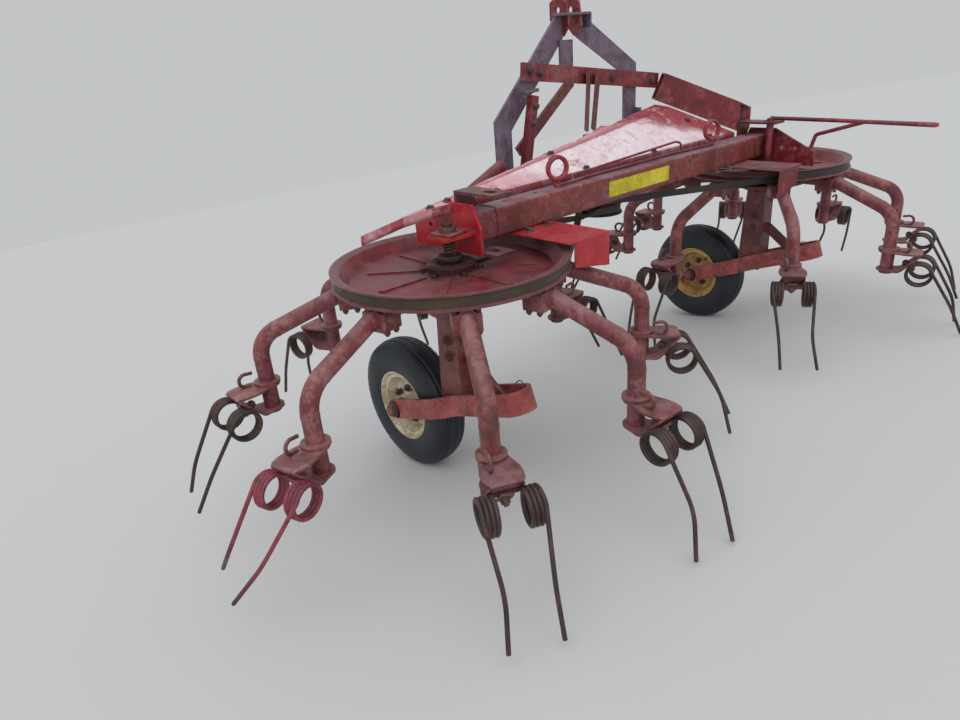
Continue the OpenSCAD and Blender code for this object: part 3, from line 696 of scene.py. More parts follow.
class TEDDER_OT_tyres(bpy.types.Operator):
    """Makes the ribbed tyres"""

    bl_idname = "tedder.tyres"
    bl_label = "Tyres"

    def execute(self, context):
        for name, side in SIDES:
            shapes = Shapes()
            shapes.grid(self.surface(context.scene.tedder_wheels, side), (True, True))
            tyre = shapes.piece(name + "_tyre_tread", name + "_wheel", "tyre", smooth_to=50)
            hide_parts(name + "_tyre")
        return {"FINISHED"}

    def surface(self, s, side):
        """Section by angle: a crown that falls with a power of the distance from the middle, cut by
        grooves that weave, and sides that bulge with a sine, marked by two fine rings."""
        crown = np.linspace(-CROWN_HALF, CROWN_HALF, 65)
        fall = TYRE_R - 0.0107 * (np.abs(crown) / CROWN_HALF) ** 2.4
        part = np.linspace(0, 1, 26)[1:]
        wall_r = 0.1953 - part * 0.0913
        wall_x = CROWN_HALF - 0.001 * part + 0.0114 * np.sin(math.pi * part) ** 0.7
        for ring in (0.128, 0.171):
            wall_x = wall_x + 0.0009 * np.exp(-((wall_r - ring) / 0.0016) ** 2)
        inside = np.linspace(0.036, -0.036, 7)
        r = np.concatenate([wall_r[::-1], fall, wall_r, np.full(7, 0.1022)])
        x = np.concatenate([-wall_x[::-1], crown, wall_x, inside])
        angle = np.arange(TYRE_STEPS) / TYRE_STEPS * 2 * math.pi
        weave = 0.0011 * np.abs((angle * 36 / math.pi) % 2 - 1)
        depth = np.zeros((len(r), len(angle)))
        for middle in (-0.024, 0.0, 0.024):
            off = np.abs(x[:, None] - middle - weave * np.sign(middle + 0.001)) / 0.0026
            depth += s.groove * np.clip(1.6 - off, 0, 1)
        edge = np.clip((np.abs(x[:, None]) - 0.033) / 0.004, 0, 1)
        notch = np.clip(np.cos(angle * 54) * 3 - 1.2, 0, 1)
        depth += s.groove * 0.55 * edge * notch
        depth *= (r > 0.186)[:, None]
        away = (r[:, None] - depth)[..., None]
        around = np.cos(angle)[:, None] * Y + np.sin(angle)[:, None] * Z
        return wheel_middle(side) + away * around + x[:, None, None] * X


class TEDDER_OT_wheel_fittings(bpy.types.Operator):
    """Makes the rims' curled edges, wheel bolts, valves, hub seals and axle nuts"""

    bl_idname = "tedder.wheel_fittings"
    bl_label = "Wheel fittings"

    def execute(self, context):
        for name, side in SIDES:
            edges = Shapes()
            for way in (-1, 1):
                edges.turned(wheel_middle(side), (way, 0, 0), [
                    (0.099, 0.03), (0.1025, 0.0372), (0.105, 0.0445), (0.1085, 0.0475),
                    (0.1115, 0.0468), (0.1118, 0.0445), (0.1092, 0.0436), (0.107, 0.042),
                    (0.1035, 0.0352), (0.1, 0.0295)], 96, closed=True)
            edges.piece(name + "_rim_edges", name + "_wheel",
                        "cream_rim" if side < 0 else "yellow_rim")
            parts = Shapes()
            for i in range(WHEEL_BOLTS):
                a = i * 2 * math.pi / WHEEL_BOLTS + 0.4
                off = WHEEL_BOLT_CIRCLE * np.array([0.0, math.cos(a), math.sin(a)])
                parts.bolt(wheel_middle(side, -0.0205) + off, (-1, 0, 0), 0.017, 0.007, 0.0125, 0.004)
                parts.bolt(wheel_middle(side, -0.0115) + off, X, 0.017, 0.008)
            for way in (-1, 1):
                parts.turned(wheel_middle(side), (way, 0, 0), [
                    (0.0128, 0.0415), (0.0262, 0.0415), (0.0262, 0.045), (0.0235, 0.0472),
                    (0.015, 0.048), (0.0128, 0.048)], 40, closed=True)
            out = np.array([0.0, math.cos(VALVE_TURN), math.sin(VALVE_TURN)])
            foot = wheel_middle(side, -0.006) + 0.088 * out
            parts.tube([foot, foot + [-0.008, 0, 0], foot + [-0.022, 0, 0] - 0.002 * out,
                        foot + [-0.036, 0, 0] - 0.006 * out], 0.0036, 12, upright=out)
            parts.piece(name + "_wheel_bolts", name + "_wheel", "fitting")
            fixed = Shapes()
            for way in (-1, 1):
                fixed.bolt(wheel_middle(side, way * 0.0765), (way, 0, 0), 0.036, 0.013, 0.024)
                fixed.turned(wheel_middle(side), (way, 0, 0), [
                    (0.0126, 0.0492), (0.0185, 0.0492), (0.0185, 0.0664), (0.0126, 0.0664)], 32,
                    closed=True)
            fixed.piece(name + "_axle_nuts", "frame", "fitting")
        return {"FINISHED"}


class TEDDER_OT_rotor_fittings(bpy.types.Operator):
    """Makes the clamp bolts at the arms' roots, the weld beads round the arms and the hubs' plates"""

    bl_idname = "tedder.rotor_fittings"
    bl_label = "Rotor fittings"

    def execute(self, context):
        s = context.scene.tedder_rotors
        for name, side in SIDES:
            middle = side * HALF_PITCH * X
            first = math.radians(s.left_phase if side < 0 else s.right_phase)
            bolts, beads, clamps = Shapes(), Shapes(), Shapes()
            for i in range(ARM_COUNT):
                a = first + i * 2 * math.pi / ARM_COUNT
                out, over = headings(a)
                clamps.slab(middle + 0.266 * out - [0, 0, 0.0755], over, Z,
                            round_outline(0.068, 0.047, 0.005), 0.058)
                for way in (-1, 1):
                    for r in (0.251, 0.281):
                        at = middle + r * out + way * 0.0262 * over
                        bolts.bolt(at + [0, 0, -0.099], (0, 0, -1), 0.0135, 0.007, 0.0, 0.004)
                        bolts.bolt(at + [0, 0, -0.052], Z, 0.0135, 0.006)
                for r in (0.2378, 0.2945):
                    ring = circle(0.0212, over, Z)
                    beads.weld(middle + r * out + [0, 0, -0.064] + ring, 0.0026, out)
                for z in (-0.2728, -0.3535):
                    ring = circle(0.0213, out, over)
                    beads.weld(middle + ARM_END * out + [0, 0, z] + ring, 0.0022)
            clamps.piece(name + "_root_clamps", name + "_rotor", "arm_paint", bevel=0.002)
            bolts.piece(name + "_root_bolts", name + "_rotor", "fitting")
            beads.piece(name + "_arm_beads", name + "_rotor", "arm_paint")
            hub = Shapes()
            hub.turned(middle, Z, [(0.032, -0.0165), (0.0585, -0.0165), (0.0585, -0.0135),
                                   (0.056, -0.0118), (0.034, -0.0118), (0.032, -0.013)], 64,
                       closed=True)
            for i in range(HUB_BOLTS):
                a = i * 2 * math.pi / HUB_BOLTS + 0.3
                at = middle + HUB_BOLT_CIRCLE * headings(a)[0] + [0, 0, -0.034]
                hub.bolt(at, Z, 0.013, 0.006, 0.0105)
            hub.piece(name + "_hub_plate", name + "_rotor", "rusty_iron")
        return {"FINISHED"}


# Turn of each tine holder in degrees and lean of its tips in millimetres, by side
SWIVELS = {-1: (-8, 12, 4, 36, 6, 8, -16, -14), 1: (-12, 6, -24, 4, -8, 18, -28, 6)}
LEANS = {-1: (-40, -55, -30, -60, -130, -10, -30, -50), 1: (45, 30, 60, 40, 25, 55, 35, 50)}
# Slanted face of a holder in the plane of its arm: outward from the arm's end, and height
FACE_TOP = np.array([0.1, -0.2853])
FACE_LOW = np.array([0.044, -0.351])
FACE_WAY = (FACE_LOW - FACE_TOP) / np.linalg.norm(FACE_LOW - FACE_TOP)
FACE_OUT = np.array([-FACE_WAY[1], FACE_WAY[0]])
FACE_MIDDLE = (FACE_TOP + FACE_LOW) / 2
WIRE_R = 0.005
COIL_R, COIL_TURNS, COIL_STEPS = 0.038, 3, 84
# Places of a leg's bend and tip: outward from the arm's end, and height
BEND_OUT, BEND_HEIGHT = 0.214, -0.455
TIP_REACH, TIP_HEIGHT = 0.258, -0.555
COIL_MIDDLE = FACE_MIDDLE + (COIL_R + WIRE_R + 0.0003) * FACE_OUT


def upright(pair, out):
    """Point or way in the plane of an arm: outward by the first value and up by the second."""
    return pair[0] * out + pair[1] * Z


def tine_places(context, side):
    """Place, outward axis and sideways axis of each tine holder of a rotor, with its lean."""
    s = context.scene.tedder_rotors
    first = s.left_phase if side < 0 else s.right_phase
    for i, (swivel, lean) in enumerate(zip(SWIVELS[side], LEANS[side])):
        arm = math.radians(first + 45 * i)
        at = side * HALF_PITCH * X + ARM_END * headings(arm)[0]
        yield at, *headings(arm + math.radians(swivel)), lean / 1000


class TEDDER_OT_tines(bpy.types.Operator):
    """Makes the double spring tines: wound coils, the wire between them and the bent legs"""

    bl_idname = "tedder.tines"
    bl_label = "Tines"

    def execute(self, context):
        for name, side in SIDES:
            shapes = Shapes()
            for at, out, over, lean in tine_places(context, side):
                for s in (-1, 1):
                    path = self.wire(s, lean)
                    path = at + path[:, :1] * out + path[:, 1:2] * over + path[:, 2:] * Z
                    shapes.tube(path, WIRE_R, 10, upright=over)
                bridge = at + upright(COIL_MIDDLE - FACE_OUT * COIL_R, out)
                shapes.tube(bridge + np.linspace(-0.034, 0.034, 6)[:, None] * over, WIRE_R, 10)
            tines = shapes.piece(name + "_tine_wires", name + "_rotor", "spring_steel", smooth_to=60)
            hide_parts(name + "_tines")
        return {"FINISHED"}

    def wire(self, s, lean):
        """One half of a tine: an angle that falls evenly while the wire moves sideways, down to the
        angle whose tangent meets the leg's bend, then straight runs with a rounded bend."""
        spread = s * 0.056 + lean
        bend = np.array([BEND_OUT, s * 0.05 + 0.35 * lean, BEND_HEIGHT])
        tip = np.array([math.sqrt(TIP_REACH ** 2 - spread ** 2), spread, TIP_HEIGHT])
        to_bend = bend[[0, 2]] - COIL_MIDDLE
        far = np.linalg.norm(to_bend)
        touch = math.atan2(to_bend[1], to_bend[0]) + math.acos(COIL_R / far)
        start = math.atan2(-FACE_OUT[1], -FACE_OUT[0]) + COIL_TURNS * 2 * math.pi
        angle = np.linspace(start, touch, COIL_STEPS)
        across = s * np.linspace(0.031, 0.0636, COIL_STEPS)
        coil = np.stack([COIL_MIDDLE[0] + COIL_R * np.cos(angle), across,
                         COIL_MIDDLE[1] + COIL_R * np.sin(angle)], axis=-1)
        leg = rounded([coil[-1], bend, tip], 0.034, 9)
        near = coil[-1] + (bend - coil[-1]) * np.linspace(0.15, 0.55, 3)[:, None]
        return np.concatenate([coil, near, leg[1:]])


class TEDDER_OT_tine_holders(bpy.types.Operator):
    """Makes the folded straps on the arms' ends with their clamps and hooks"""

    bl_idname = "tedder.tine_holders"
    bl_label = "Tine holders"

    def execute(self, context):
        for name, side in SIDES:
            straps, parts = Shapes(), Shapes()
            for at, out, over, lean in tine_places(context, side):
                self.strap(straps, at, out)
                middle = at + upright(FACE_MIDDLE, out)
                way, face = upright(FACE_WAY, out), upright(FACE_OUT, out)
                parts.slab(middle + 0.004 * way + 0.0128 * face, way, over,
                           round_outline(0.036, 0.034, 0.006), 0.005)
                parts.bolt(middle + 0.013 * way + 0.0152 * face, face, 0.018, 0.008, 0.0125, 0.005)
                parts.bolt(middle + 0.013 * way - 0.006 * face, -face, 0.018, 0.008, 0.0125, 0.003)
                centre = at + 0.05 * out - 0.02 * over - 0.2623 * Z
                angle = np.radians(np.linspace(-80, 95, 22))[:, None]
                hook = centre + 0.017 * (np.cos(angle) * out + np.sin(angle) * Z)
                start = hook[:1] - 0.016 * out - 0.001 * Z
                end = hook[-1:] - 0.02 * out - 0.003 * Z
                parts.tube(np.concatenate([start, hook, end]), 0.0046, 12, upright=over)
            holders = straps.piece(name + "_tine_straps", name + "_rotor", "arm_paint", bevel=0.0012,
                                   smooth_to=30)
            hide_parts(name + "_carriers")
            parts.piece(name + "_tine_clamps", name + "_rotor", "holder_iron")
        return {"FINISHED"}

    def strap(self, shapes, at, out):
        """A strip folded twice in the plane of an arm, its half width by distance from the arm:
        a half circle behind it, then widening to the slanted face."""
        back = -0.031 * np.cos(np.linspace(0, 1, 9) * math.pi / 2)
        ahead = [0.02, 0.054, 0.075]
        top, low = -0.2843, -0.35
        flat = np.concatenate([back, ahead])
        fold = rounded([[0.075, top], [0.104, top], [FACE_LOW[0] - 0.003, low], [0.02, low]], 0.01, 5)
        path = np.concatenate([np.stack([flat, np.full(len(flat), top)], axis=-1), fold[1:],
                               np.stack([back[::-1], np.full(len(back), low)], axis=-1)])
        x = path[:, 0]
        halves = np.where(x < 0, np.sqrt(np.maximum(0.031 ** 2 - np.minimum(x, 0) ** 2, 1e-6)),
                          np.interp(x, [0, 0.054, 0.09, 0.1], [0.031, 0.043, 0.043, 0.034]))
        shapes.band(at, out, Z, path, halves, 0.006)


class TEDDER_OT_rods(bpy.types.Operator):
    """Makes the ring bolts with their rods on the beam, and the bent rod at the right end"""

    bl_idname = "tedder.rods"
    bl_label = "Rods"

    def execute(self, context):
        top = 0.102
        rings = Shapes()
        along, across = headings(math.radians(-20))
        for x in (-0.388, 0.41):
            foot = np.array([x, 0.0, top])
            angle = np.linspace(-0.5, 1.62, 74)[:, None] * 2 * math.pi
            drift = np.linspace(-0.0065, 0.0065, 74)[:, None]
            ring = foot + 0.052 * Z + 0.03 * (np.sin(angle) * along - np.cos(angle) * Z)
            rings.tube(ring + drift * across, 0.0058, 12, upright=across)
            rings.tube(foot + np.linspace(-0.001, 0.028, 5)[:, None] * Z, 0.0068, 14, upright=along)
            rings.bolt(foot, Z, 0.022, 0.009, 0.0, 0.0)
        rings = rings.piece("ring_bolts", "frame", "ring_red", smooth_to=60)
        thin = Shapes()
        for path, r in (
                ([(-0.391, -0.01, 0.006), (-0.25, 0.004, 0.006), (0.13, 0.006, 0.006),
                  (0.413, -0.008, 0.006)], 0.0045),
                ([(-0.318, 0.004, 0.004), (-0.305, 0.02, 0.016), (0.223, 0.02, 0.038),
                  (0.229, 0.004, 0.034), (0.229, 0.004, 0.012)], 0.0036)):
            thin.tube(rounded(np.array(path) + top * Z, 0.01), r, 10, upright=(0, 1, 0.3))
        thin.piece("beam_rods", "frame", "dull_red", "bright_red", smooth_to=60)
        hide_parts("spring_rods")
        hoop = Shapes()
        far = np.array([0.742, -0.59, 0.14])
        path = [(0.6985, -0.065, 0.1605), (0.718, -0.3, 0.153), far, far + [0.017, 0, 0],
                (0.752, -0.374, 0.146), (0.746, -0.215, 0.1), (0.744, -0.2, 0.045)]
        hoop.tube(rounded(path, 0.0083, 9), 0.0068, 14, upright=(0, 0.2, 1))
        hoop.turned((0.6985, -0.065, 0), Z, [
            (0, -0.024), (0.012, -0.024), (0.0127, -0.022), (0.0127, 0.158), (0.0115, 0.1605),
            (0, 0.1605)], 32)
        hoop = hoop.piece("hoop", "frame", "hoop_red", smooth_to=50)
        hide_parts("hoop_rod")
        return {"FINISHED"}


class TEDDER_OT_legs(bpy.types.Operator):
    """Makes the box legs under the rotors and the forks that carry the wheels"""

    bl_idname = "tedder.legs"
    bl_label = "Wheel legs"

    def execute(self, context):
        ahead = np.array([0.0, math.cos(FORK_RISE), -math.sin(FORK_RISE)])
        above = np.array([0.0, math.sin(FORK_RISE), math.cos(FORK_RISE)])
        pivot = AXLE_DROP - AXLE_AHEAD * math.tan(FORK_RISE)
        low = -pivot - 0.026
        for name, side in SIDES:
            at = side * HALF_PITCH * X
            box = Shapes()
            wall = [[-0.038, -0.124], [0.038, -0.124], [0.056, -pivot + 0.012], [0.044, low],
                    [-0.038, low]]
            for way in (-1, 1):
                box.slab(at + way * 0.0322 * X, Y, Z, wall, 0.0076)
            front = ribbon(rounded([[0.034, -0.125], [0.052, -pivot + 0.012], [0.041, low + 0.001]],
                                   0.012, 5), 0.0075)
            box.slab(at, Y, Z, front, 0.0575)
            box.slab(at, Y, Z, ribbon([[-0.0342, -0.125], [-0.0342, low + 0.001]], 0.0075), 0.0575)
            box.slab(at + [0, 0, -0.1285], X, Y, round_outline(0.0718, 0.0755, 0.004), 0.008)
            start = np.array([0.0, -0.034, -0.262])
            bolt = np.array([0.0, 0.0, -pivot]) - 0.175 * ahead
            end = bolt + 0.022 * unit(bolt - start)
            way = unit(end - start)
            length = np.linalg.norm(end - start)
            box.slab(at + (start + end) / 2, way, np.cross(X, way),
                     round_outline(length, 0.038, 0.008), 0.01)
            box = box.piece(name + "_leg_box", "frame", "leg_red", bevel=0.0018)
            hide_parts(name + "_column")

            fork = Shapes()
            axle, rear = AXLE_AHEAD / math.cos(FORK_RISE), 0.25 / math.cos(FORK_RISE) - 0.036
            half, near = 0.0715, 0.0413
            turn = np.linspace(0, math.pi, 17)[:, None]
            back = np.concatenate([near * np.cos(turn), -rear - near * np.sin(turn)], axis=1)
            right = rounded([[half, axle], [half, 0.055], [near, -0.01], [near, -rear]], 0.018, 6)
            path = np.concatenate([right[:-1], back, (right[:-1] * [-1, 1])[::-1]])
            fork.slab(at - [0, 0, pivot], X, ahead, ribbon(path, 0.01), 0.06)
            hub = at - [0, 0, pivot] + axle * ahead
            for way in (-1, 1):
                fork.turned(hub + way * half * X, (way, 0, 0), [
                    (0, -0.005), (0.03, -0.005), (0.03, 0.005), (0, 0.005)], 48)
            fork.turned(hub, X, [(0, -0.094), (0.0115, -0.094), (0.0125, -0.093), (0.0125, 0.093),
                                 (0.0115, 0.094), (0, 0.094)], 32)
            fork = fork.piece(name + "_fork_strap", "frame", "bar_red", bevel=0.0014)
            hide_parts(name + "_fork")
            bolts = Shapes()
            cross = at - [0, 0, pivot] - 0.175 * ahead
            for way in (-1, 1):
                bolts.bolt(cross + way * 0.0463 * X, (way, 0, 0), 0.026, 0.01, 0.019, 0.006)
                bolts.bolt(cross + way * 0.0463 * X + 0.205 * ahead, (way, 0, 0), 0.02, 0.007, 0.014)
            bolts.turned(cross, X, [(0, -0.046), (0.008, -0.046), (0.008, 0.046), (0, 0.046)], 24)
            bolts.tube(rounded([cross + 0.056 * X, cross + 0.062 * X + 0.02 * ahead + 0.02 * above,
                                cross + 0.066 * X - 0.012 * ahead + 0.034 * above,
                                cross + 0.06 * X - 0.03 * ahead], 0.012), 0.0016, 8)
            bolts.piece(name + "_fork_bolts", "frame", "fitting")
        return {"FINISHED"}


class TEDDER_OT_posts(bpy.types.Operator):
    """Makes the posts with their seals, springs, plates and nuts"""

    bl_idname = "tedder.posts"
    bl_label = "Posts"

    def execute(self, context):
        for name, side in SIDES:
            at = side * HALF_PITCH * X
            post = Shapes()
            post.turned(at, Z, [
                (0, -0.3868), (0.0188, -0.3868), (0.02, -0.3856), (0.02, -0.0165), (0.019, -0.012),
                (0.01, -0.011), (0.01, 0.07), (0.0135, 0.0702), (0.0135, 0.085),
                (0.0115, 0.0868), (0, 0.0868)], 48)
            post.turned(at, Z, [
                (0, -0.009), (0.03, -0.009), (0.033, -0.006), (0.033, 0.002), (0.03, 0.005),
                (0, 0.005)], 56)
            post = post.piece(name + "_post_shaft", "frame", "rusty_iron")
            stack = Shapes()
            stack.spring(at + [0, 0, 0.0075], Z, 0.0145, 0.0048, 4.6, 0.0375)
            stack.bolt(at + [0, 0, 0.064], Z, 0.038, 0.013, 0.0, 0.003)
            stack.piece(name + "_post_spring", "frame", "fitting")
            plates = Shapes()
            u, v = headings(math.radians(12 if side < 0 else -8))
            plates.slab(at + [-0.004 * side, 0.003, 0.0602], v, u, round_outline(0.074, 0.062, 0.004),
                        0.007)
            plates.piece(name + "_post_plate", "frame", "dull_red", bevel=0.0012)
            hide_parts(name + "_post")
        return {"FINISHED"}


SHEET_THICK, SHEET_SAG = 0.0026, 0.003
COVER_LENGTH = 1.45


def cover_lines():
    """Ends of the cover's rear edge, of its crease and of its front edge."""
    rear = np.array([[-HALF_PITCH, 0.052, 0.118], [HALF_PITCH - 0.142, 0.052, 0.112]])
    front = np.array([[-HALF_PITCH - 0.196, 0.093, 0.084], [0.44, 0.26, 0.235]])
    crease = front + np.array([[0.57], [0.18]]) * (rear - front) + [[0, 0, 0.005], [0, 0, 0.009]]
    return rear, crease, front


def cover_point(u, v):
    """A point of the cover: straight lines along u between the edges, joined by straight lines
    along v, from the rear edge at 0 over the crease at 1 to the front edge at 2."""
    rear, crease, front = [line[0] + u[..., None] * (line[1] - line[0]) for line in cover_lines()]
    first, second = np.clip(v, 0, 1)[..., None], np.clip(v - 1, 0, 1)[..., None]
    return rear + first * (crease - rear) + second * (front - crease)


class TEDDER_OT_cover(bpy.types.Operator):
    """Makes the dented cover sheet with its crease, lips and bolts, and the blank plate"""

    bl_idname = "tedder.cover"
    bl_label = "Cover"

    def execute(self, context):
        self.sheet(context.scene.tedder_cover)
        bolts = Shapes()
        for u, v in ((0.035, 0.55), (0.1, 0.8), (0.16, 0.07), (0.42, 0.06), (0.66, 0.06),
                     (0.9, 0.06), (0.955, 0.6), (0.5, 1.5)):
            at = cover_point(np.array(u), np.array(v))
            bolts.bolt(at, (0.1, -0.12, 1), 0.016, 0.007, 0.013)
        bolts.piece("cover_bolts", "frame", "fitting")
        plate = Shapes()
        plate.slab((-0.0555, -0.0406, 0.063), X, Z, round_outline(0.305, 0.046, 0.003), 0.0009)
        plate.piece("blank_plate", "frame", "plate")
        return {"FINISHED"}

    def sheet(self, s):
        """Adds to the cover's straight surface a sum of sines as dents, which grows toward the front
        edge, and bends strips down at all four sides."""
        u = np.concatenate([[0.0, 0.0], np.linspace(0, 1, 240), [1.0, 1.0]])
        v = np.concatenate([[0.0], np.linspace(0, 1, 26), np.linspace(1, 2, 15)[1:], [2.0, 2.0]])
        grid_u, grid_v = np.meshgrid(u, v, indexing="ij")
        points = cover_point(grid_u, grid_v)
        x = grid_u * COVER_LENGTH
        waves = (np.sin(x * 23 + 1.3 * grid_v) + 0.6 * np.sin(x * 61 + 2.1 * grid_v + 0.7)
                 + 0.35 * np.sin(x * 133 + 4.0 * grid_v))
        rise = (grid_v / 2) ** 3 * np.clip(grid_u * 12, 0, 1) * np.clip((1 - grid_u) * 12, 0, 1)
        crumple = np.exp(-((grid_u - 0.72) / 0.09) ** 2) * 1.6 + 0.35
        points[..., 2] += s.dent * waves * rise * crumple
        points[..., 1] += s.dent * 0.5 * np.cos(x * 47) * rise * crumple
        sag = np.sin(np.pi * np.clip(grid_v, 0, 1)) * np.sin(np.pi * grid_u)
        points[..., 2] -= SHEET_SAG * sag
        down_v = np.zeros(len(v))
        down_v[[0, -2, -1]] = 0.026, 0.005, 0.01
        down_u = np.zeros(len(u))
        down_u[[0, 1, -2, -1]] = 0.025, 0.0125, 0.018, 0.036
        points[..., 2] -= np.maximum(down_u[:, None], down_v[None])
        shapes = Shapes()
        shapes.grid(points, flip=True)
        cover = shapes.piece("cover_sheet", "frame", "faded_cover", closed=False, smooth_to=30,
                             uv=np.stack([grid_u, grid_v], axis=-1).reshape(-1, 2))
        wall = cover.modifiers.new("wall", "SOLIDIFY")
        wall.thickness = SHEET_THICK
        wall.offset = -1.0
        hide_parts("belt_cover")


class TEDDER_OT_frame_fittings(bpy.types.Operator):
    """Makes the bolts, welds, pins and small plates of the frame, the mast and the gearbox"""

    bl_idname = "tedder.frame_fittings"
    bl_label = "Frame fittings"

    def execute(self, context):
        half = HALF_PITCH
        bolts = Shapes()
        for side in (-1, 1):
            for z in (0.04, 0.086):
                bolts.bolt((side * (half - 0.102), 0.048, z), Y, 0.019, 0.008, 0.015, 0.004)
            inner = half - (0.345 if side < 0 else 0.48)
            for off in (0.035, 0.115):
                bolts.bolt((side * (inner + off), -0.06, 0.022), Z, 0.017, 0.007, 0.014)
            for z in (-0.223, -0.27):
                for way in (-1, 1):
                    bolts.bolt((side * half + way * 0.036, 0.002, z), (way, 0, 0), 0.022, 0.009,
                               0.016, 0.004)
        for x, z in ((-0.205, 0.402), (-0.16, 0.392), (0.2, 0.349), (0.425, 0.322)):
            bolts.bolt((x, 0.271, z), (0, -1, 0), 0.022, 0.009, 0.017, 0.004)
        for x, z in ((-0.224, 0.3), (-0.236, 0.25), (-0.262, 0.14)):
            bolts.bolt((x, 0.235, z), (0, -1, 0), 0.018, 0.008, 0.013, 0.004)
        for x in (-0.055, 0.055):
            bolts.bolt((x, 0.215, 0.133), Z, 0.017, 0.008, 0.013)
        for i in range(SEAL_BOLTS):
            a = i * 2 * math.pi / SEAL_BOLTS + 0.2
            place = (SEAL_CIRCLE * math.cos(a), 0.24, 0.062 + SEAL_CIRCLE * math.sin(a))
            bolts.bolt(place, Y, 0.014, 0.006)
        for side in (-1, 1):
            for z in (0.505, 0.535):
                bolts.bolt((side * 0.0345, 0.292, z), (side, 0, 0), 0.017, 0.007, 0.013)
        bolts.piece("frame_bolts", "frame", "fitting")

        plates = Shapes()
        plates.slab((0, 0.16, 0.129), X, Y, round_outline(0.136, 0.136, 0.012), 0.008)
        plates.turned((0, 0.229, 0.062), Y, [(0.05, 0.0), (0.07, 0.0), (0.07, 0.01), (0.068, 0.0115),
                                             (0.05, 0.0115)], 64, closed=True)
        plates.turned((-0.03, 0.18, 0.132), Z, [(0, 0), (0.016, 0), (0.016, 0.01), (0.009, 0.012),
                                                (0.009, 0.022), (0.012, 0.024), (0.01, 0.032),
                                                (0, 0.034)], 28)
        plates.piece("gearbox_lid", "frame", "dark_red", bevel=0.0015)

        cap = Shapes()
        cap.slab((0, 0.276, 0.553), X, Y, round_outline(0.14, 0.046, 0.004), 0.008)
        cap.slab((0.0685, 0.276, 0.534), Y, Z, round_outline(0.046, 0.044, 0.004), 0.008)
        cap.slab((-0.03, 0.276, 0.43), Y, Z, [(-0.004, -0.05), (0.006, -0.05), (0.006, 0.05),
                                              (-0.004, 0.05)], 0.06)
        cap.piece("mast_cap", "frame", "mast_paint", bevel=0.0015)

        beads = Shapes()
        around = round_outline(0.0805, 0.0805, 0.01, 6)
        for x in (-(half - 0.0705), -(half - 0.1345), half - 0.0705, half - 0.1345):
            path = np.stack([np.full(len(around), x), around[:, 0], 0.062 + around[:, 1]], axis=-1)
            beads.weld(self.finer(path, 150), 0.0028, X)
        for side in (-1, 1):
            start = np.array([side * (half - 0.061), -0.038, 0.0565])
            path = start + np.linspace(0, 1, 40)[:, None] * [0, 0.076, 0]
            beads.weld(path, 0.0028, closed=False)
            foot = np.array([side * 0.356, 0.273, 0.09])
            beads.weld(foot + circle(0.0128, Y, Z), 0.0022, X)
        beads.piece("frame_welds", "frame", "dull_red")

        pins = Shapes()
        pins.tube(np.array([-0.196, 0.248, 0.345]) - np.linspace(0, 1, 12)[:, None]
                  * [0.078, 0.0, 0.004], 0.0055, 14)
        pins.tube(np.array([-0.27, 0.248, 0.328]) + circle(0.013, Y, Z, 40), 0.0018, 8, True,
                  upright=X)
        pins.piece("adjuster_pins", "frame", "bare_steel")
        return {"FINISHED"}

    def finer(self, path, count):
        """Points at even steps of length along a closed path."""
        path = np.concatenate([path, path[:1]])
        length = np.concatenate([[0], np.cumsum(np.linalg.norm(np.diff(path, axis=0), axis=1))])
        at = np.linspace(0, length[-1], count + 1)[:-1]
        return np.stack([np.interp(at, length, path[:, i]) for i in range(3)], axis=-1)


# Nodes of the frame by their finish
WEARS = {
    "beam_paint": "main_beam",
    "bright_red": "left_bracket left_guard spring_rods",
    "dull_red": "right_bracket diagonal_beam left_stay top_link_plates cross_strut adjuster_bar "
                "right_guard hoop_rod",
    "dark_red": "left_holder right_holder mast_braces gearbox left_column right_column",
    "mast_paint": "left_mast_leg right_mast_leg",
    "bare_steel": "drive_shaft",
    "rusty_iron": "drive_pulley left_post right_post",
    "worn_belt": "left_belt",
    "dark_belt": "right_belt",
    "faded_cover": "belt_cover",
    "bar_red": "left_fork right_fork",
    "sheave_red": "left_sheave right_sheave",
    "arm_paint": "left_arms right_arms left_carriers right_carriers",
    "spring_steel": "left_tines right_tines",
    "tyre": "left_tyre right_tyre",
    "cream_rim": "left_rim",
    "yellow_rim": "right_rim",
}
FINISH_OF = {node: finish for finish, nodes in WEARS.items() for node in nodes.split()}


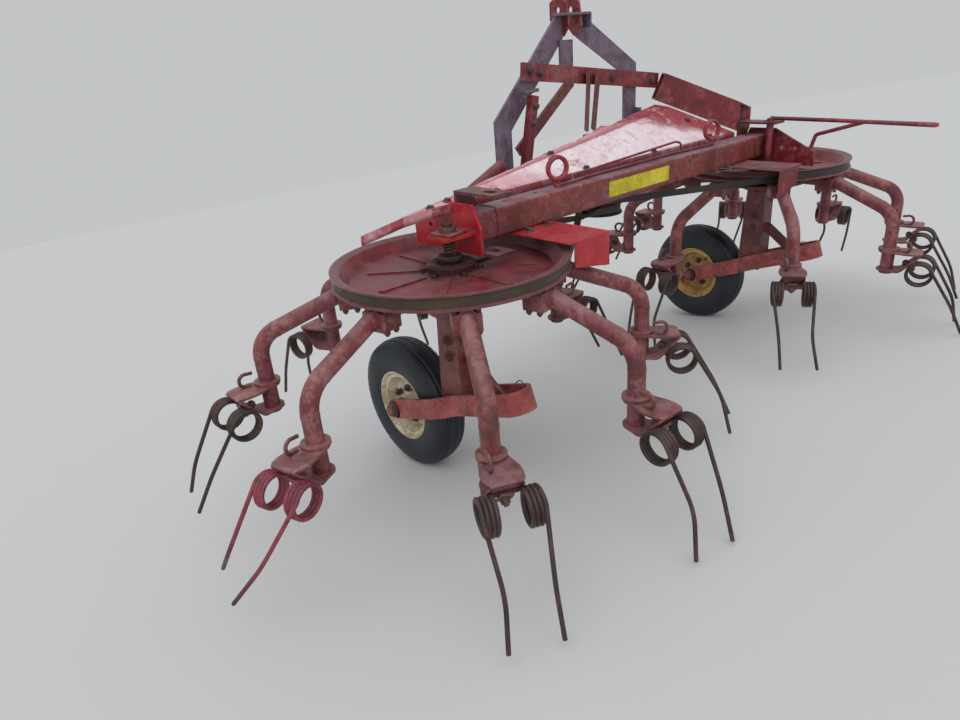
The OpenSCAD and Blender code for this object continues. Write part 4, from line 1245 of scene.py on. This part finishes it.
def finishes():
    """All finishes by name."""
    rust, iron = "#6e3f28", "#5e3c28"
    share = bpy.context.scene.tedder_paint.rust_share
    # A paint is its tone, its faded tone, its rust and its dirt, then what differs from the usual
    paints = {
        # The dust tones, heaviest on the beam and the arms, also paint the light on top faces
        "beam_paint": ("#7c2a2a", "#7e3a34", "#7c4222", "#3a2022", dict(
            rust_share=share + 0.25, fade_share=0.7, shift=1, dust="#8d7884", dusty=0.75,
            tone=beam_tone)),
        "bright_red": ("#b21420", "#bb2630", rust, "#64161c", dict(
            rust_share=0.05, gloss=0.35, shift=2, dusty=0.12, blotch=0.25, bloom=0.3,
            bloom_colour="#c2606a")),
        "dull_red": ("#7a1a24", "#84303a", rust, "#3c1619", dict(
            rust_share=share, fade_share=0.6, shift=3)),
        "dark_red": ("#5e2422", "#6c3634", rust, "#2a1415", dict(
            rust_share=share + 0.1, shift=4, bloom_colour="#8e625c")),
        "bar_red": ("#963c3a", "#a45450", rust, "#5a2824", dict(
            rust_share=0.15, fade_share=0.8, shift=11, bloom_colour="#b47c74", tone=bar_tone)),
        "mast_paint": ("#5e4656", "#766878", "#54262a", "#3a222a", dict(
            rust_share=0.15, fade_share=0.9, shift=5, dusty=0.5, edge_colour="#4a2226",
            bloom_colour="#8c8090")),
        "sheave_red": ("#6e0d18", "#7a1822", rust, "#3c1015", dict(
            rust_share=0.12, fade_share=0.6, gloss=0.3, shift=6, dusty=0.12, blotch=0.35, bloom=0.2,
            bloom_colour="#8c5a62", tone=dish_tone)),
        "arm_paint": ("#702a32", "#824446", rust, "#42201f", dict(
            rust_share=share + 0.05, fade_share=0.8, shift=7, dust="#a08684", blotch=0.6, bloom=0.5,
            tone=arm_tone)),
        # The cover's near-white paint is partly bleaching and partly a painted sheen of the sky
        "faded_cover": ("#e4d2d8", "#ece4e6", rust, "#b4646c", dict(
            rust_share=0.0, fade_share=1.0, shift=8, dusty=0.0, blotch=0.15, bloom=0.3,
            bloom_colour="#f0e8ec", tone=cover_tone)),
        "cream_rim": ("#dcd2b8", "#cdbc92", "#84501f", "#77603c", dict(
            rust_share=0.3, shift=9, dusty=0.1, bloom_colour="#e4dccb")),
        "yellow_rim": ("#c8a45a", "#b88e4a", "#7a4218", "#5a3a1c", dict(
            rust_share=0.6, shift=10, dusty=0.1, bloom_colour="#d8c08c")),
        "spring_steel": ("#33211f", "#442c28", "#54301f", "#181213", dict(
            rust_share=0.5, fade_share=0.7, shift=12, dusty=0.1, bloom=0.4, bloom_colour="#6a4a42",
            tone=tine_tone)),
        "plate": ("#d6c814", "#c9b916", "#8a7a30", "#6c5c24", dict(
            rust_share=0.05, shift=14, dusty=0.1, edge=0.3, blotch=0.3, bloom_colour="#e4d76a")),
        "holder_iron": ("#6a3630", "#7a4a40", iron, "#33201e", dict(
            rust_share=0.5, fade_share=0.8, shift=16, scale=2.0, bloom_colour="#8e6a60")),
        "leg_red": ("#6e2c2a", "#784040", rust, "#3a1a18", dict(
            rust_share=share + 0.15, fade_share=0.7, shift=17, blotch=0.6, bloom_colour="#9a6660")),
        "ring_red": ("#962432", "#a43a46", rust, "#54161e", dict(
            rust_share=0.1, fade_share=0.6, gloss=0.35, shift=18, scale=2.0, dusty=0.15,
            bloom_colour="#b86a70")),
        "hoop_red": ("#8c2a38", "#6c2430", rust, "#3e161c", dict(
            rust_share=0.3, fade_share=0.9, gloss=0.4, shift=19, scale=1.5, dusty=0.2,
            bloom_colour="#b07078")),
        "fitting": ("#4c2a28", "#5c3a36", iron, "#2a1c1b", dict(
            rust_share=0.7, fade_share=0.7, shift=15, scale=3.0)),
    }
    made = {name: worn_paint(name, *tones, **usage) for name, (*tones, usage) in paints.items()}
    made["rusty_iron"] = bare_metal("rusty_iron", "#4a3530", "#2a1f1d", "#6b4028", 0.6, 0.4)
    made["bare_steel"] = bare_metal("bare_steel", "#8a8580", "#55504c", "#6b4a38", 0.3, 0.9)
    made["worn_belt"] = rubber("worn_belt", "#2c251d", "#5a4c30", 0.7)
    made["dark_belt"] = rubber("dark_belt", "#1b1b1c", "#4a453f", 0.35)
    made["tyre"] = rubber("tyre", "#10161f", "#2c343d", 0.5)
    return made


class TEDDER_PT_panel(bpy.types.Panel):
    """Lists the steps in the sidebar"""

    bl_label = "Hay tedder"
    bl_idname = "TEDDER_PT_panel"
    bl_space_type = "VIEW_3D"
    bl_region_type = "UI"
    bl_category = "Tedder"

    def draw(self, context):
        for step in STEPS:
            self.layout.operator(step.bl_idname)
        for group in [getattr(context.scene, name) for name in GROUPS]:
            for name in group.bl_rna.properties.keys():
                if name not in ("rna_type", "name"):
                    self.layout.prop(group, name)


STEPS = (TEDDER_OT_stage, TEDDER_OT_paint, TEDDER_OT_tyres, TEDDER_OT_tines,
         TEDDER_OT_tine_holders, TEDDER_OT_rods, TEDDER_OT_legs, TEDDER_OT_wheel_fittings,
         TEDDER_OT_rotor_fittings, TEDDER_OT_posts, TEDDER_OT_cover, TEDDER_OT_frame_fittings)
GROUPS = {"tedder_stage": TedderStageSettings, "tedder_paint": TedderPaintSettings,
          "tedder_wheels": TedderWheelSettings, "tedder_rotors": TedderRotorSettings,
          "tedder_cover": TedderCoverSettings}
CLASSES = (*GROUPS.values(), *STEPS, TEDDER_PT_panel)


def register():
    for cls in CLASSES:
        bpy.utils.register_class(cls)
    for name, group in GROUPS.items():
        setattr(bpy.types.Scene, name, bpy.props.PointerProperty(type=group))


def unregister():
    for name in GROUPS:
        delattr(bpy.types.Scene, name)
    for cls in reversed(CLASSES):
        bpy.utils.unregister_class(cls)


def main():
    """Runs every step in order."""
    register()
    for step in STEPS:
        group, name = step.bl_idname.split(".")
        getattr(getattr(bpy.ops, group), name)()


if __name__ == "__main__":
    main()
